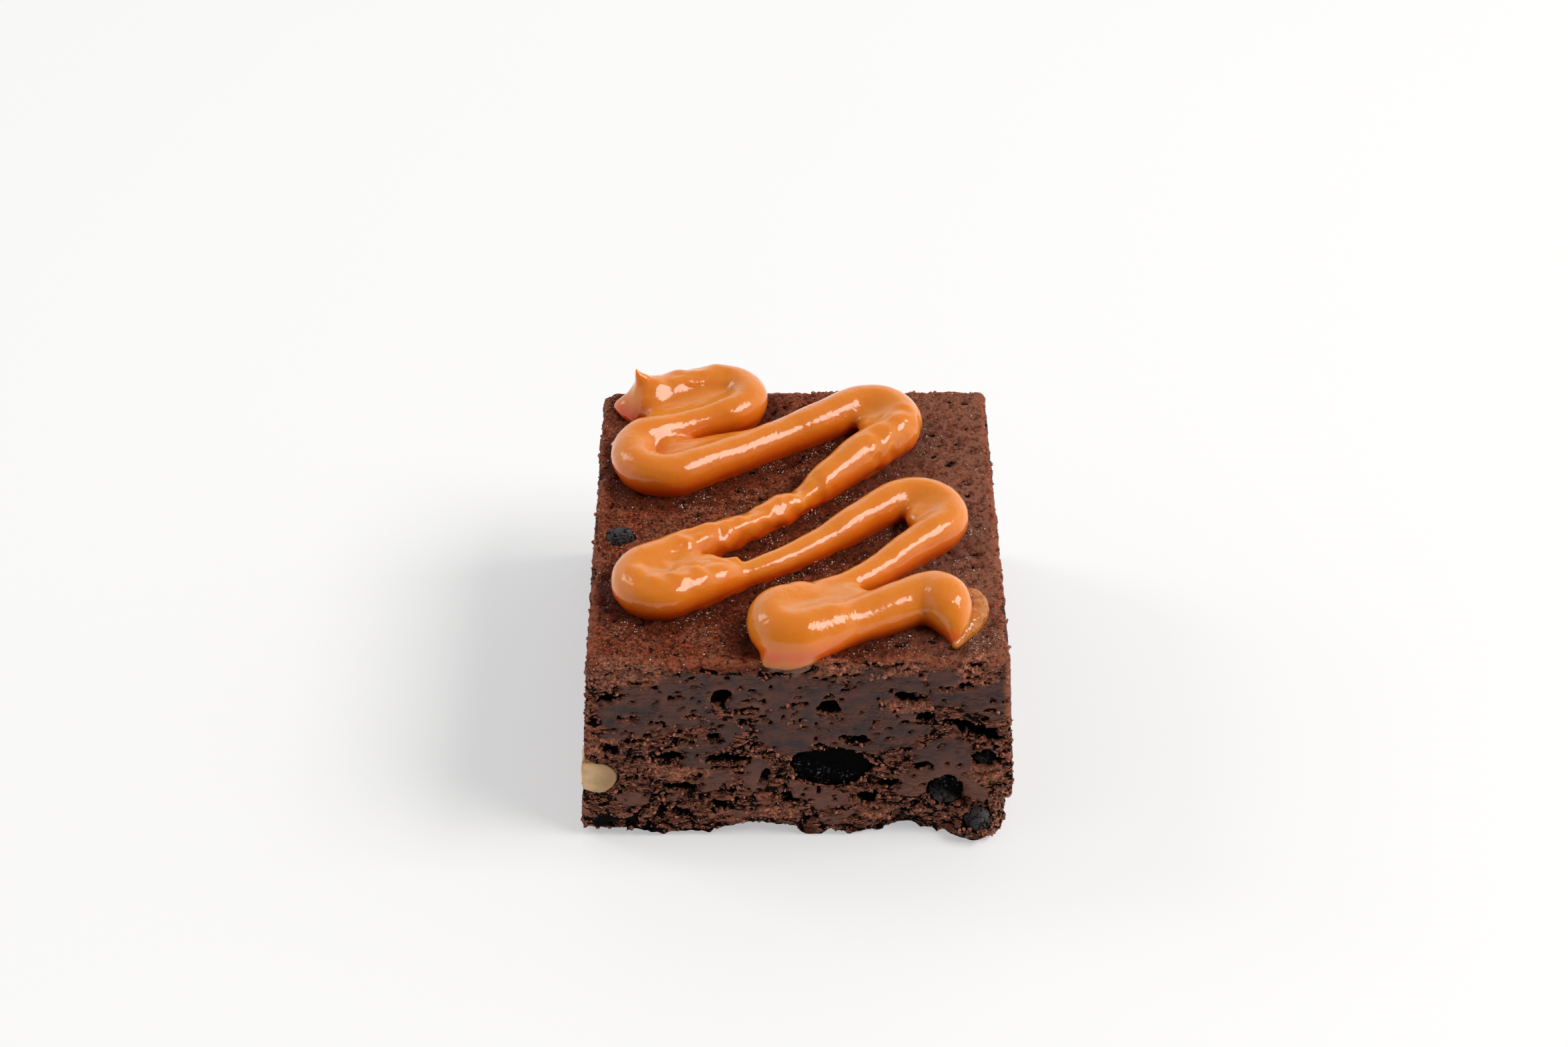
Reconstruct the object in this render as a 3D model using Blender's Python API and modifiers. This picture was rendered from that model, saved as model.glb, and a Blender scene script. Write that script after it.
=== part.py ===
"""A mini brownie: a square-cut block with chocolate chips and a nut piece in its cut sides,
and a thick caramel zigzag fused to its top.

Run with: blender --background --python part.py
Metres, +Z up. The origin is at the middle of the base and the front is at -Y.
"""
import math
import random

import bmesh
import bpy
from mathutils import Matrix, Vector, noise

MM = 0.001
SEED = 7

# Block
BLOCK_WIDTH = 44.0 * MM
BLOCK_LENGTH = 49.5 * MM
BLOCK_HEIGHT = 23.9 * MM
SIDE_FLARE = 1.4 * MM
END_FLARE = 0.4 * MM
CELLS = {"X": 21, "Y": 23, "Z": 13}
EDGE_WEAR = 0.15 * MM
BLOCK_KEEP = 0.50
BASE_REACH = 0.04 * MM

# Relief of the crumb: flat layers on the sides, lumps all over
LAYER_LENGTH = 5.2 * MM
LAYER_STRETCH = 2.6
LAYER_DEPTH = 0.55 * MM
LUMP_SIZE = 9.0 * MM
LUMP_DEPTH = 0.40 * MM
TOP_PIT_SIZE = 3.2 * MM
TOP_PIT_DEPTH = 0.35 * MM

# Tears in the front: distance along the face, height, width, height of the opening, tilt in degrees
FRONT_TEARS = (
    (3.2, 17.5, 2.5, 2.2, 0),
    (6.0, 13.3, 3.8, 1.3, -6),
    (-7.6, 10.7, 5.0, 1.4, 2),
    (-12.9, 6.7, 3.6, 1.1, 6),
    (-8.1, 18.9, 2.7, 2.0, 30),
    (-17.4, 16.2, 1.5, 1.3, 0),
    (-8.9, 13.7, 2.2, 1.2, 0),
    (-13.4, 11.0, 2.8, 2.2, 0),
    (-3.5, 8.0, 1.1, 3.6, -12),
    (11.8, 18.8, 3.9, 1.7, 0),
    (13.6, 16.2, 2.2, 1.4, 20),
    (13.1, 9.6, 2.9, 1.2, 14),
    (9.6, 7.2, 3.0, 1.0, 8),
    (7.4, 5.2, 1.9, 2.0, 0),
    (18.9, 14.3, 6.8, 1.5, -27),
    (-8.2, 4.3, 2.1, 1.5, 0),
    (-14.6, 3.6, 1.6, 1.2, 0),
)
# Places where the block's foot doesn't reach the table, along the front: middle, width, height
FRONT_HOLLOWS = (
    (12.4, 8.4, 4.8),
    (-3.2, 6.0, 1.8),
    (-21.4, 5.4, 2.4),
)
TEAR_DEPTH = (1.0 * MM, 2.0 * MM)
TEARS_PER_HIDDEN_SIDE = 9
HOLLOWS_PER_HIDDEN_SIDE = 2
TEAR_SPACING = 4.6 * MM
SIDE_MARGIN = 4.0 * MM

# Broken lower corner at the front right: centre and half sizes of the bites and of the crumb below
CORNER_BITES = (
    ((25.6, -25.0, 2.2), (4.2, 10.5, 4.6)),
    ((23.4, -27.0, 6.2), (2.6, 2.6, 1.6)),
)
CORNER_LUMP = ((19.0, -23.9, 2.1), (2.9, 2.3, 2.1))
CORNER_LUMP_CLEAR = 0.05 * MM

# Inclusions: side, distance along the face, height, width, height, tilt in degrees
CHIPS = {
    "chip_centre": ("front", 3.6, 9.4, 8.6, 5.4, 0),
    "chip_right": ("front", 15.8, 6.0, 3.8, 4.0, 20),
    "chip_small": ("front", 19.9, 10.5, 2.6, 1.9, 0),
    "chip_back": ("back", -8.5, 8.2, 8.0, 5.6, 6),
    "chip_back_small": ("back", 11.0, 14.6, 5.4, 3.6, -14),
    "chip_left": ("left", 6.0, 9.0, 7.6, 5.2, -8),
    "chip_left_small": ("left", -12.5, 15.0, 4.2, 3.2, 10),
    "chip_side": ("right", -6.5, 8.6, 8.2, 5.4, 8),
    "chip_side_small": ("right", 11.5, 15.2, 4.6, 3.4, -6),
}
CHIP_RECESS = 0.5 * MM
CHIP_DEPTH_SHARE = 0.42
CORNER_CHIP = {"tip": (19.3, -26.4, 2.3), "radius": 1.5, "length": 2.6}
TOP_CHIP = {"place": (-19.3, -2.9), "width": 3.2, "stands": 0.35}
NUT = {"middle": (-21.7, -23.6, 8.3), "size": (5.4, 5.0, 4.4), "tilt": 12}
GAP = 0.30 * MM

# Caramel zigzag: the strand is laid round pegs, turning right and left in turn.
# Each peg: x, y, turning radius, strand radius there. Each run: strand radius at its middle, bow.
STRAND_START = (-20.5, 19.5)
STRAND_END = (16.3, -23.3)
PEGS = (
    (-8.5, 20.5, 3.2, 2.30),
    (-14.4, 9.8, 3.9, 2.36),
    (8.5, 15.5, 3.5, 2.48),
    (-14.6, -13.1, 2.8, 2.40),
    (13.0, -1.9, 3.6, 2.24),
    (-0.4, -20.7, 2.2, 2.86),
    (14.6, -19.9, 3.7, 2.66),
)
RUNS = (
    (2.24, -0.2),
    (2.00, 0.1),
    (2.12, 0.0),
    (1.66, -1.4),
    (1.52, 1.1),
    (1.72, -0.6),
    (2.34, 0.0),
    (0.90, 0.0),
)
START_RADIUS = 1.5
END_RADIUS = 0.4
STRAND_STEP = 0.9 * MM
STRAND_SUNK = 0.28
FOOT_SHARE = 0.82
FOOT_DROP = 1.1 * MM
PEAK = {"foot": (-18.3, 20.6), "radius": 1.9, "tip": 0.35, "top": 30.2}
CARAMEL_VOXEL = 0.70 * MM
CARAMEL_KEEP = 0.20

COLOURS = {
    "crumb": ((0.105, 0.046, 0.032), 0.85),
    "caramel": ((0.610, 0.165, 0.016), 0.16),
    "chocolate": ((0.016, 0.010, 0.008), 0.35),
    "nut": ((0.620, 0.480, 0.260), 0.55),
}

# Turn about Z that carries the front face, which looks along -Y, onto each side
SIDE_TURNS = {"front": 0, "right": 90, "back": 180, "left": 270}


def clear_scene():
    for obj in list(bpy.data.objects):
        bpy.data.objects.remove(obj)


def make_collection(name):
    collection = bpy.data.collections.new(name)
    bpy.context.scene.collection.children.link(collection)
    return collection


def make_material(name):
    colour, roughness = COLOURS[name]
    material = bpy.data.materials.new(name)
    material.use_nodes = True
    shader = material.node_tree.nodes["Principled BSDF"]
    shader.inputs["Base Color"].default_value = (*colour, 1.0)
    shader.inputs["Roughness"].default_value = roughness
    shader.inputs["Metallic"].default_value = 0.0
    return material


def add_object(name, bm, collection, material=None):
    mesh = bpy.data.meshes.new(name)
    bm.to_mesh(mesh)
    bm.free()
    if material:
        mesh.materials.append(material)
    obj = bpy.data.objects.new(name, mesh)
    collection.objects.link(obj)
    return obj


def add_cutter(name, bm, collection):
    cutter = add_object(name, bm, collection)
    cutter.hide_render = True
    cutter.display_type = "WIRE"
    return cutter


def apply_modifiers(obj):
    """Keep the shape that the object's modifiers give, and drop the modifiers."""
    evaluated = obj.evaluated_get(bpy.context.evaluated_depsgraph_get())
    shaped = bpy.data.meshes.new_from_object(evaluated)
    obj.modifiers.clear()
    obj.data = shaped


def boolean(obj, collection, operation):
    """Join or cut the object with all that a collection holds, and remove what it held."""
    modifier = obj.modifiers.new(operation.title(), "BOOLEAN")
    modifier.operation = operation
    modifier.operand_type = "COLLECTION"
    modifier.collection = collection
    modifier.solver = "EXACT"
    apply_modifiers(obj)
    for operand in list(collection.objects):
        bpy.data.objects.remove(operand)


def thin_out(obj, share):
    """Keep a share of the object's triangles, most where its surface bends."""
    modifier = obj.modifiers.new("Thin", "DECIMATE")
    modifier.ratio = share
    apply_modifiers(obj)


def level_base(obj):
    """Put the points that thinning moved off the base back on it."""
    for vert in obj.data.vertices:
        if vert.co.z < BASE_REACH:
            vert.co.z = 0.0


def side_matrix(side):
    """From a side's own frame, X along the face and -Y out of it, to the block's."""
    return Matrix.Rotation(math.radians(SIDE_TURNS[side]), 4, "Z")


def side_distance(side, height):
    """How far a side's plain face is from the middle at a height."""
    share = 1.0 - height / BLOCK_HEIGHT
    if side in ("front", "back"):
        return BLOCK_LENGTH / 2 + END_FLARE * share
    return BLOCK_WIDTH / 2 + SIDE_FLARE * share


def relief(point, outward):
    """How far the crumb stands out of the plain block at a point."""
    lumps = LUMP_DEPTH * noise.noise(point / LUMP_SIZE)
    if outward.z > 0.9:
        return lumps + TOP_PIT_DEPTH * noise.noise(point / TOP_PIT_SIZE)
    layered = Vector((point.x, point.y, point.z * LAYER_STRETCH)) / LAYER_LENGTH
    return lumps + LAYER_DEPTH * noise.noise(layered)


def build_block(collection, material):
    """The plain block, its sides flared, its edges worn and its faces rough, with a flat base."""
    bm = bmesh.new()
    size = Matrix.Diagonal((BLOCK_WIDTH, BLOCK_LENGTH, BLOCK_HEIGHT, 1.0))
    lift = Matrix.Translation((0.0, 0.0, BLOCK_HEIGHT / 2))
    bmesh.ops.create_cube(bm, size=1.0, matrix=lift @ size)
    for axis, cells in CELLS.items():
        index = "XYZ".index(axis)
        edges = [e for e in bm.edges if abs((e.verts[0].co - e.verts[1].co).normalized()[index]) > 0.9]
        bmesh.ops.subdivide_edges(bm, edges=edges, cuts=cells - 1, use_grid_fill=True)
    bm.normal_update()
    for vert in bm.verts:
        point = vert.co.copy()
        share = 1.0 - point.z / BLOCK_HEIGHT
        on_base = point.z < BASE_REACH
        outward = vert.normal.copy()
        if on_base:
            outward.z = 0.0
        borders = sum(abs(part) > 0.3 for part in outward)
        wear = EDGE_WEAR * max(0, borders - 1)
        vert.co.x += SIDE_FLARE * share * point.x / (BLOCK_WIDTH / 2)
        vert.co.y += END_FLARE * share * point.y / (BLOCK_LENGTH / 2)
        vert.co += outward * (relief(point, outward) - wear)
    base_faces = [f for f in bm.faces if all(v.co.z < BASE_REACH for v in f.verts)]
    base_edges = [e for e in bm.edges if all(f in base_faces for f in e.link_faces)]
    bmesh.ops.dissolve_edges(bm, edges=base_edges, use_verts=True)
    bmesh.ops.triangulate(bm, faces=[f for f in bm.faces if len(f.verts) > 4])
    return add_object("brownie", bm, collection, material)


def rough_ellipsoid(half_sizes, segments=8, rings=5, unevenness=0.12, seed=0.0):
    bm = bmesh.new()
    bmesh.ops.create_uvsphere(bm, u_segments=segments, v_segments=rings, radius=1.0)
    for vert in bm.verts:
        shift = noise.noise(vert.co * 1.6 + Vector((seed, 2.0 * seed, 0.0)))
        vert.co *= 1.0 + unevenness * shift
        vert.co = Vector([part * half for part, half in zip(vert.co, half_sizes)])
    return bm


def place_on_side(bm, side, along, height, inward, tilt):
    """Move a shape onto a side, by the distance along it, its height, depth and tilt in degrees."""
    where = Matrix.Translation((along, inward - side_distance(side, height), height))
    turned = Matrix.Rotation(math.radians(tilt), 4, "Y")
    bmesh.ops.transform(bm, matrix=side_matrix(side) @ where @ turned, verts=bm.verts)


def cut_tear(side, along, height, width, opening, tilt, depth, cutters):
    seed = along / MM + height / MM
    bm = rough_ellipsoid((width / 2, depth, opening / 2), seed=seed)
    place_on_side(bm, side, along, height, 0.0, -tilt)
    add_cutter("tear", bm, cutters)


def tear_depth(width, opening):
    shallow, deep = TEAR_DEPTH
    return min(deep, max(shallow, 0.4 * (width + opening)))


def cut_front_tears(cutters):
    for along, height, width, opening, tilt in FRONT_TEARS:
        sizes = (width * MM, opening * MM)
        cut_tear("front", along * MM, height * MM, *sizes, tilt, tear_depth(*sizes), cutters)
    for along, width, opening in FRONT_HOLLOWS:
        sizes = (width * MM, opening * MM)
        cut_tear("front", along * MM, 0.0, *sizes, 0, tear_depth(*sizes), cutters)


def taken_spots(side):
    """Where a side already holds a chip: distance along, height, half width."""
    spots = []
    for chip_side, along, height, width, _, _ in CHIPS.values():
        if chip_side == side:
            spots.append((along * MM, height * MM, width * MM / 2))
    return spots


def cut_hidden_tears(cutters):
    """Tears like the front's on the three other sides, strewn with a least spacing."""
    strewn = random.Random(SEED)
    for side in ("right", "back", "left"):
        half = (BLOCK_WIDTH if side == "back" else BLOCK_LENGTH) / 2 - SIDE_MARGIN
        spots = taken_spots(side)
        wanted = len(spots) + TEARS_PER_HIDDEN_SIDE
        for _ in range(600):
            if len(spots) == wanted:
                break
            along = strewn.uniform(-half, half)
            height = strewn.uniform(3.2 * MM, BLOCK_HEIGHT - 3.2 * MM)
            width = strewn.uniform(1.6, 4.6) * MM
            opening = strewn.uniform(0.9, 1.7) * MM
            tilt = strewn.uniform(-16, 16)
            if any(math.hypot(along - a, (height - h) * 1.4) < TEAR_SPACING + w for a, h, w in spots):
                continue
            spots.append((along, height, 0.0))
            cut_tear(side, along, height, width, opening, tilt, tear_depth(width, opening), cutters)
        for number in range(HOLLOWS_PER_HIDDEN_SIDE):
            along = half * (2 * number / max(1, HOLLOWS_PER_HIDDEN_SIDE - 1) - 1) * strewn.uniform(0.3, 0.8)
            width = strewn.uniform(5.0, 8.0) * MM
            opening = strewn.uniform(1.6, 3.0) * MM
            cut_tear(side, along, 0.0, width, opening, 0, tear_depth(width, opening), cutters)


def cut_corner(cutters):
    for centre, half_sizes in CORNER_BITES:
        bm = rough_ellipsoid([half * MM for half in half_sizes], unevenness=0.25, seed=sum(centre))
        bmesh.ops.translate(bm, vec=[part * MM for part in centre], verts=bm.verts)
        add_cutter("corner_bite", bm, cutters)


def add_corner_lump(lumps):
    centre, half_sizes = CORNER_LUMP
    bm = rough_ellipsoid([half * MM for half in half_sizes], segments=10, rings=8, unevenness=0.2)
    bmesh.ops.translate(bm, vec=[part * MM for part in centre], verts=bm.verts)
    cut_flat(bm, (0.0, 0.0, CORNER_LUMP_CLEAR), (0.0, 0.0, -1.0))
    add_object("corner_lump", bm, lumps)


def cut_flat(bm, point, normal):
    """Slice off what lies past a plane and close the cut."""
    geometry = bm.verts[:] + bm.edges[:] + bm.faces[:]
    cut = bmesh.ops.bisect_plane(
        bm, geom=geometry, plane_co=point, plane_no=normal, clear_outer=True)["geom_cut"]
    bmesh.ops.holes_fill(bm, edges=[e for e in cut if isinstance(e, bmesh.types.BMEdge)], sides=0)
    bmesh.ops.recalc_face_normals(bm, faces=bm.faces)


def build_chip(name, spec, parts, cutters, material):
    """A chip that the knife went through: an uneven oval with a flat face just inside the side."""
    side, along, height, width, opening, tilt = spec
    seed = along + height
    depth = CHIP_DEPTH_SHARE * width * MM
    half_sizes = Vector((width * MM / 2, depth, opening * MM / 2))
    inward = 0.25 * depth
    pocket_sizes = half_sizes + Vector((GAP, GAP, GAP))
    for sizes, is_chip in ((half_sizes, True), (pocket_sizes, False)):
        bm = rough_ellipsoid(sizes, segments=14, rings=8, unevenness=0.10, seed=seed)
        if is_chip:
            cut_flat(bm, (0.0, CHIP_RECESS - inward, 0.0), (0.0, -1.0, 0.0))
        place_on_side(bm, side, along * MM, height * MM, inward, -tilt)
        if is_chip:
            add_object(name, bm, parts, material)
        else:
            add_cutter(name + "_pocket", bm, cutters)


def build_corner_chip(parts, cutters, material):
    """A chip whose pointed end stands out of the broken corner."""
    tip = Vector(CORNER_CHIP["tip"]) * MM
    for grow, name in ((0.0, "chip_corner"), (GAP, "chip_corner_pocket")):
        radius = CORNER_CHIP["radius"] * MM + grow
        half_length = CORNER_CHIP["length"] * MM / 2 + grow
        bm = rough_ellipsoid((radius, half_length, radius), segments=12, rings=8, unevenness=0.06)
        middle = tip + Vector((0.0, CORNER_CHIP["length"] * MM / 2, 0.0))
        bmesh.ops.translate(bm, vec=middle, verts=bm.verts)
        if grow:
            add_cutter(name, bm, cutters)
        else:
            add_object(name, bm, parts, material)


def build_top_chip(parts, cutters, material):
    """A chip that shows through the top crust beside the caramel."""
    radius = TOP_CHIP["width"] * MM / 2
    top = BLOCK_HEIGHT + TOP_CHIP["stands"] * MM
    middle = Vector((TOP_CHIP["place"][0] * MM, TOP_CHIP["place"][1] * MM, top - radius))
    for grow, name in ((0.0, "chip_top"), (GAP, "chip_top_pocket")):
        half = radius + grow
        bm = rough_ellipsoid((half, half, half), segments=12, rings=8, unevenness=0.06, seed=3.0)
        bmesh.ops.translate(bm, vec=middle, verts=bm.verts)
        if grow:
            add_cutter(name, bm, cutters)
        else:
            add_object(name, bm, parts, material)


def build_nut(parts, cutters, material):
    """A nut piece cut through at the front left edge, flush with both sides."""
    middle = Vector(NUT["middle"]) * MM
    turned = Matrix.Rotation(math.radians(NUT["tilt"]), 4, "Y")
    for grow, name in ((0.0, "nut_piece"), (GAP, "nut_pocket")):
        half_sizes = [size * MM / 2 + grow for size in NUT["size"]]
        bm = rough_ellipsoid(half_sizes, segments=12, rings=8, unevenness=0.14, seed=5.0)
        bmesh.ops.transform(bm, matrix=Matrix.Translation(middle) @ turned, verts=bm.verts)
        if grow:
            add_cutter(name, bm, cutters)
            continue
        cut_flat(bm, (0.0, -side_distance("front", middle.z), 0.0), (0.0, -1.0, 0.0))
        cut_flat(bm, (-side_distance("left", middle.z), 0.0, 0.0), (-1.0, 0.0, 0.0))
        add_object(name, bm, parts, material)


def run_between(start, start_turn, end, end_turn):
    """The straight line that leaves one peg and meets the next, as its two ends and its right side.

    A turn is the peg's radius, above 0 where the strand goes round it to the left.
    """
    across = end - start
    heading = math.atan2(across.y, across.x) + math.asin((start_turn - end_turn) / across.length)
    right = Vector((math.sin(heading), -math.cos(heading)))
    return start + right * start_turn, end + right * end_turn, right


def strand_route():
    """Points of the zigzag in millimetres, each with the strand's radius: x, y, radius."""
    stops = [(Vector(STRAND_START), 0.0, START_RADIUS)]
    for number, (x, y, turning, radius) in enumerate(PEGS):
        stops.append((Vector((x, y)), turning if number % 2 else -turning, radius))
    stops.append((Vector(STRAND_END), 0.0, END_RADIUS))
    runs = [run_between(a[0], a[1], b[0], b[1]) for a, b in zip(stops, stops[1:])]
    route = []
    for number, (leave, meet, right) in enumerate(runs):
        middle_radius, bow = RUNS[number]
        steps = max(2, round((meet - leave).length * MM / STRAND_STEP))
        for step in range(steps):
            t = step / steps
            swing = (1.0 - math.cos(2.0 * math.pi * t)) / 2.0
            near = stops[number if t < 0.5 else number + 1][2]
            radius = near + (middle_radius - near) * swing
            route.append((*(leave.lerp(meet, t) + right * bow * swing), radius))
        centre, turn, radius = stops[number + 1]
        if number == len(runs) - 1:
            route.append((*meet, radius))
            break
        first = math.atan2(*reversed(meet - centre))
        last = math.atan2(*reversed(runs[number + 1][0] - centre))
        way = math.copysign(1.0, turn)
        sweep = way * ((way * (last - first)) % (2.0 * math.pi))
        steps = max(3, round(abs(sweep * turn) * MM / STRAND_STEP))
        for step in range(steps):
            angle = first + sweep * step / steps
            spoke = Vector((math.cos(angle), math.sin(angle))) * abs(turn)
            route.append((*(centre + spoke), radius))
    return route


def add_tube(bm, route, share, drop, collection):
    """Add the strand to a mesh as a tube, its radius and height taken down by a share and a drop."""
    curve = bpy.data.curves.new("strand", "CURVE")
    curve.dimensions = "3D"
    curve.bevel_depth = share * MM
    curve.bevel_resolution = 4
    curve.use_fill_caps = True
    spline = curve.splines.new("POLY")
    spline.points.add(len(route) - 1)
    for point, (x, y, radius) in zip(spline.points, route):
        height = BLOCK_HEIGHT + (1.0 - STRAND_SUNK) * radius * MM - drop
        point.co = (x * MM, y * MM, height, 1.0)
        point.radius = radius
    strand = bpy.data.objects.new("strand", curve)
    collection.objects.link(strand)
    tube = bpy.data.meshes.new_from_object(strand.evaluated_get(bpy.context.evaluated_depsgraph_get()))
    bpy.data.objects.remove(strand)
    bm.from_mesh(tube)


def build_caramel(collection, material):
    """The strand and its broader foot, its round ends and the peak at its start, melted into one."""
    bm = bmesh.new()
    route = strand_route()
    add_tube(bm, route, 1.0, 0.0, collection)
    add_tube(bm, route, FOOT_SHARE, FOOT_DROP, collection)
    bmesh.ops.remove_doubles(bm, verts=bm.verts, dist=0.001 * MM)
    for x, y, radius in (route[0], route[-1]):
        centre = Matrix.Translation((x * MM, y * MM, BLOCK_HEIGHT + (1.0 - STRAND_SUNK) * radius * MM))
        bmesh.ops.create_icosphere(bm, subdivisions=2, radius=radius * MM, matrix=centre)
    foot = BLOCK_HEIGHT + START_RADIUS * MM
    top = PEAK["top"] * MM
    upright = Matrix.Translation((*(Vector(PEAK["foot"]) * MM), (foot + top) / 2))
    bmesh.ops.create_cone(
        bm, cap_ends=True, segments=12, radius1=PEAK["radius"] * MM, radius2=PEAK["tip"] * MM,
        depth=top - foot, matrix=upright)
    caramel = add_object("caramel", bm, collection, material)
    melt = caramel.modifiers.new("Melt", "REMESH")
    melt.mode = "VOXEL"
    melt.voxel_size = CARAMEL_VOXEL
    soften = caramel.modifiers.new("Soften", "SMOOTH")
    soften.factor = 0.5
    soften.iterations = 3
    apply_modifiers(caramel)
    thin_out(caramel, CARAMEL_KEEP)


def smooth_shade(obj):
    obj.data.shade_smooth()
    obj.data.set_sharp_from_angle(angle=math.radians(40))


def main():
    clear_scene()
    parts = make_collection("mini_brownie")
    tears = make_collection("tears")
    pockets = make_collection("pockets")
    toppings = make_collection("toppings")
    materials = {name: make_material(name) for name in COLOURS}
    brownie = build_block(parts, materials["crumb"])
    cut_front_tears(tears)
    cut_hidden_tears(tears)
    cut_corner(tears)
    boolean(brownie, tears, "DIFFERENCE")
    thin_out(brownie, BLOCK_KEEP)
    level_base(brownie)
    add_corner_lump(toppings)
    boolean(brownie, toppings, "UNION")
    for name, spec in CHIPS.items():
        build_chip(name, spec, parts, pockets, materials["chocolate"])
    build_corner_chip(parts, pockets, materials["chocolate"])
    build_top_chip(parts, pockets, materials["chocolate"])
    build_nut(parts, pockets, materials["nut"])
    boolean(brownie, pockets, "DIFFERENCE")
    build_caramel(toppings, materials["caramel"])
    boolean(brownie, toppings, "UNION")
    for obj in parts.objects:
        smooth_shade(obj)


main()
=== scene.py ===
"""Looks of a mini brownie with a caramel zigzag, built around its packed model as a Blender add-on."""

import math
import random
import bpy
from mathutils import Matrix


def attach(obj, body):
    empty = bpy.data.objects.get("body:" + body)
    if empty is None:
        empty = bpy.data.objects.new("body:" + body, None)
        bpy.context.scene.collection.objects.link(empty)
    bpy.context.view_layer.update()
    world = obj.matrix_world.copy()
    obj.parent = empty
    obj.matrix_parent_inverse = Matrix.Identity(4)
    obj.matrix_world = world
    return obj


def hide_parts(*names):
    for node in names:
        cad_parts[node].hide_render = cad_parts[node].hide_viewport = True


bl_info = {
    "name": "Mini Brownie",
    "version": (1, 0, 0),
    "blender": (4, 5, 0),
    "location": "View3D > Sidebar > Brownie",
    "description": "Crumb, caramel, chocolate chips and stage of a mini brownie",
    "category": "Object",
}

import bmesh
import bpy
import numpy as np
from mathutils import Matrix, Vector, noise

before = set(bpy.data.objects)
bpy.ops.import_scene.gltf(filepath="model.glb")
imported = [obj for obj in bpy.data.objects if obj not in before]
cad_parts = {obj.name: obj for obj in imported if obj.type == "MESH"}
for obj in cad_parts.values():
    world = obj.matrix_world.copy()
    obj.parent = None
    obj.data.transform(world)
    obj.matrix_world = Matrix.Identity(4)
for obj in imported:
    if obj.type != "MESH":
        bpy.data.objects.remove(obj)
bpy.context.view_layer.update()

MM = 0.001
BODY = "root"
SEED = 7
EVEN = (1.0, 1.0, 1.0)
STILL = Matrix.Identity(4)
# How many points are held against the whole route of the strand at a time
POINTS_AT_ONCE = 4000

# Block
BLOCK_WIDTH = 44.0 * MM
BLOCK_LENGTH = 49.5 * MM
BLOCK_HEIGHT = 23.9 * MM
SIDE_FLARE = 1.4 * MM
END_FLARE = 0.4 * MM
TOP_ROUND = 0.8 * MM
# How far behind the plain front a point still counts as on the front
FRONT_DEPTH = 1.2 * MM
# Size of the bumps on an uneven lump, beside its radius
LUMP_WAVE = 0.55

# Tears in the front: distance along the face, height, width, height of the opening, tilt in degrees
FRONT_TEARS = (
    (3.2, 17.5, 2.5, 2.7, 0),
    (6.0, 13.3, 3.8, 1.3, -6),
    (-7.6, 10.7, 5.8, 1.7, 2),
    (-12.9, 6.7, 4.3, 1.6, 6),
    (-8.1, 18.9, 2.7, 2.0, 30),
    (-17.4, 16.2, 1.5, 1.3, 0),
    (-8.9, 13.7, 2.2, 1.2, 0),
    (-13.4, 11.0, 2.8, 2.2, 0),
    (-3.5, 8.0, 1.1, 3.6, -12),
    (11.8, 18.8, 3.9, 1.7, 0),
    (13.6, 16.2, 2.6, 1.8, 20),
    (13.1, 9.6, 2.9, 1.2, 14),
    (9.6, 7.2, 3.4, 1.3, 8),
    (7.4, 5.2, 2.5, 2.2, 0),
    (18.9, 14.3, 7.2, 2.1, -26),
    (-8.2, 4.3, 2.1, 1.5, 0),
    (-14.6, 3.6, 1.6, 1.2, 0),
)
# Places where the block's foot doesn't reach the table, along the front: middle, width, height
FRONT_HOLLOWS = (
    (11.6, 7.4, 6.2),
    (-4.4, 9.4, 4.0),
    (-21.4, 7.4, 2.4),
)
# Flush patches that the knife smeared, on the front: distance along, height, half width, half height
FRONT_SMEARS = (
    (-9.1, 20.4, 5.8, 2.8),
    (-15.6, 16.8, 5.8, 3.0),
    (-1.2, 14.4, 3.4, 3.2),
    (1.6, 20.0, 3.4, 2.4),
    (6.8, 15.6, 7.6, 4.2),
    (7.0, 22.0, 3.2, 1.4),
    (15.4, 22.0, 2.2, 1.8),
    (20.6, 18.8, 1.8, 3.0),
    (15.9, 12.0, 2.6, 1.6),
    (12.0, 7.2, 2.0, 2.0),
    (0.4, 6.5, 1.8, 1.4),
    (-9.5, 8.0, 1.6, 1.8),
    (-17.6, 5.3, 1.8, 1.1),
    (-4.4, 8.6, 1.6, 2.4),
)
# Stretches of the top edge at the front where the crumb is broken open: middle, half width
FRONT_EDGE_BREAKS = (
    (-17.5, 3.6),
    (17.2, 2.4),
    (7.8, 1.6),
)
# Places of loose reddish crumb on the front: distance along, height, half width, half height
FRONT_RUBBLE = (
    (-18.0, 22.2, 4.8, 1.7),
    (3.6, 22.9, 2.4, 1.0),
    (11.4, 22.9, 2.8, 0.8),
    (18.7, 22.3, 2.3, 1.7),
    (11.6, 18.2, 3.0, 1.3),
    (19.6, 8.6, 2.4, 1.4),
    (-20.6, 12.4, 2.0, 1.6),
    (-12.4, 8.8, 2.6, 1.0),
    (-2.4, 3.6, 3.0, 1.2),
    (8.6, 3.4, 2.2, 1.2),
)
# Where loose crumbs gather besides the lips of tears: place, reach
CRUMB_DRIFTS = (
    ((-23.6, -25.3, 10.4), 1.5),
    ((-21.6, -25.4, 10.8), 1.1),
    ((19.4, -26.0, 2.6), 2.6),
    ((22.4, -24.8, 5.4), 2.4),
    ((17.8, -24.8, 22.6), 1.6),
    ((7.8, -24.8, 22.4), 1.2),
    ((-20.0, -24.8, 22.6), 2.6),
)
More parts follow.
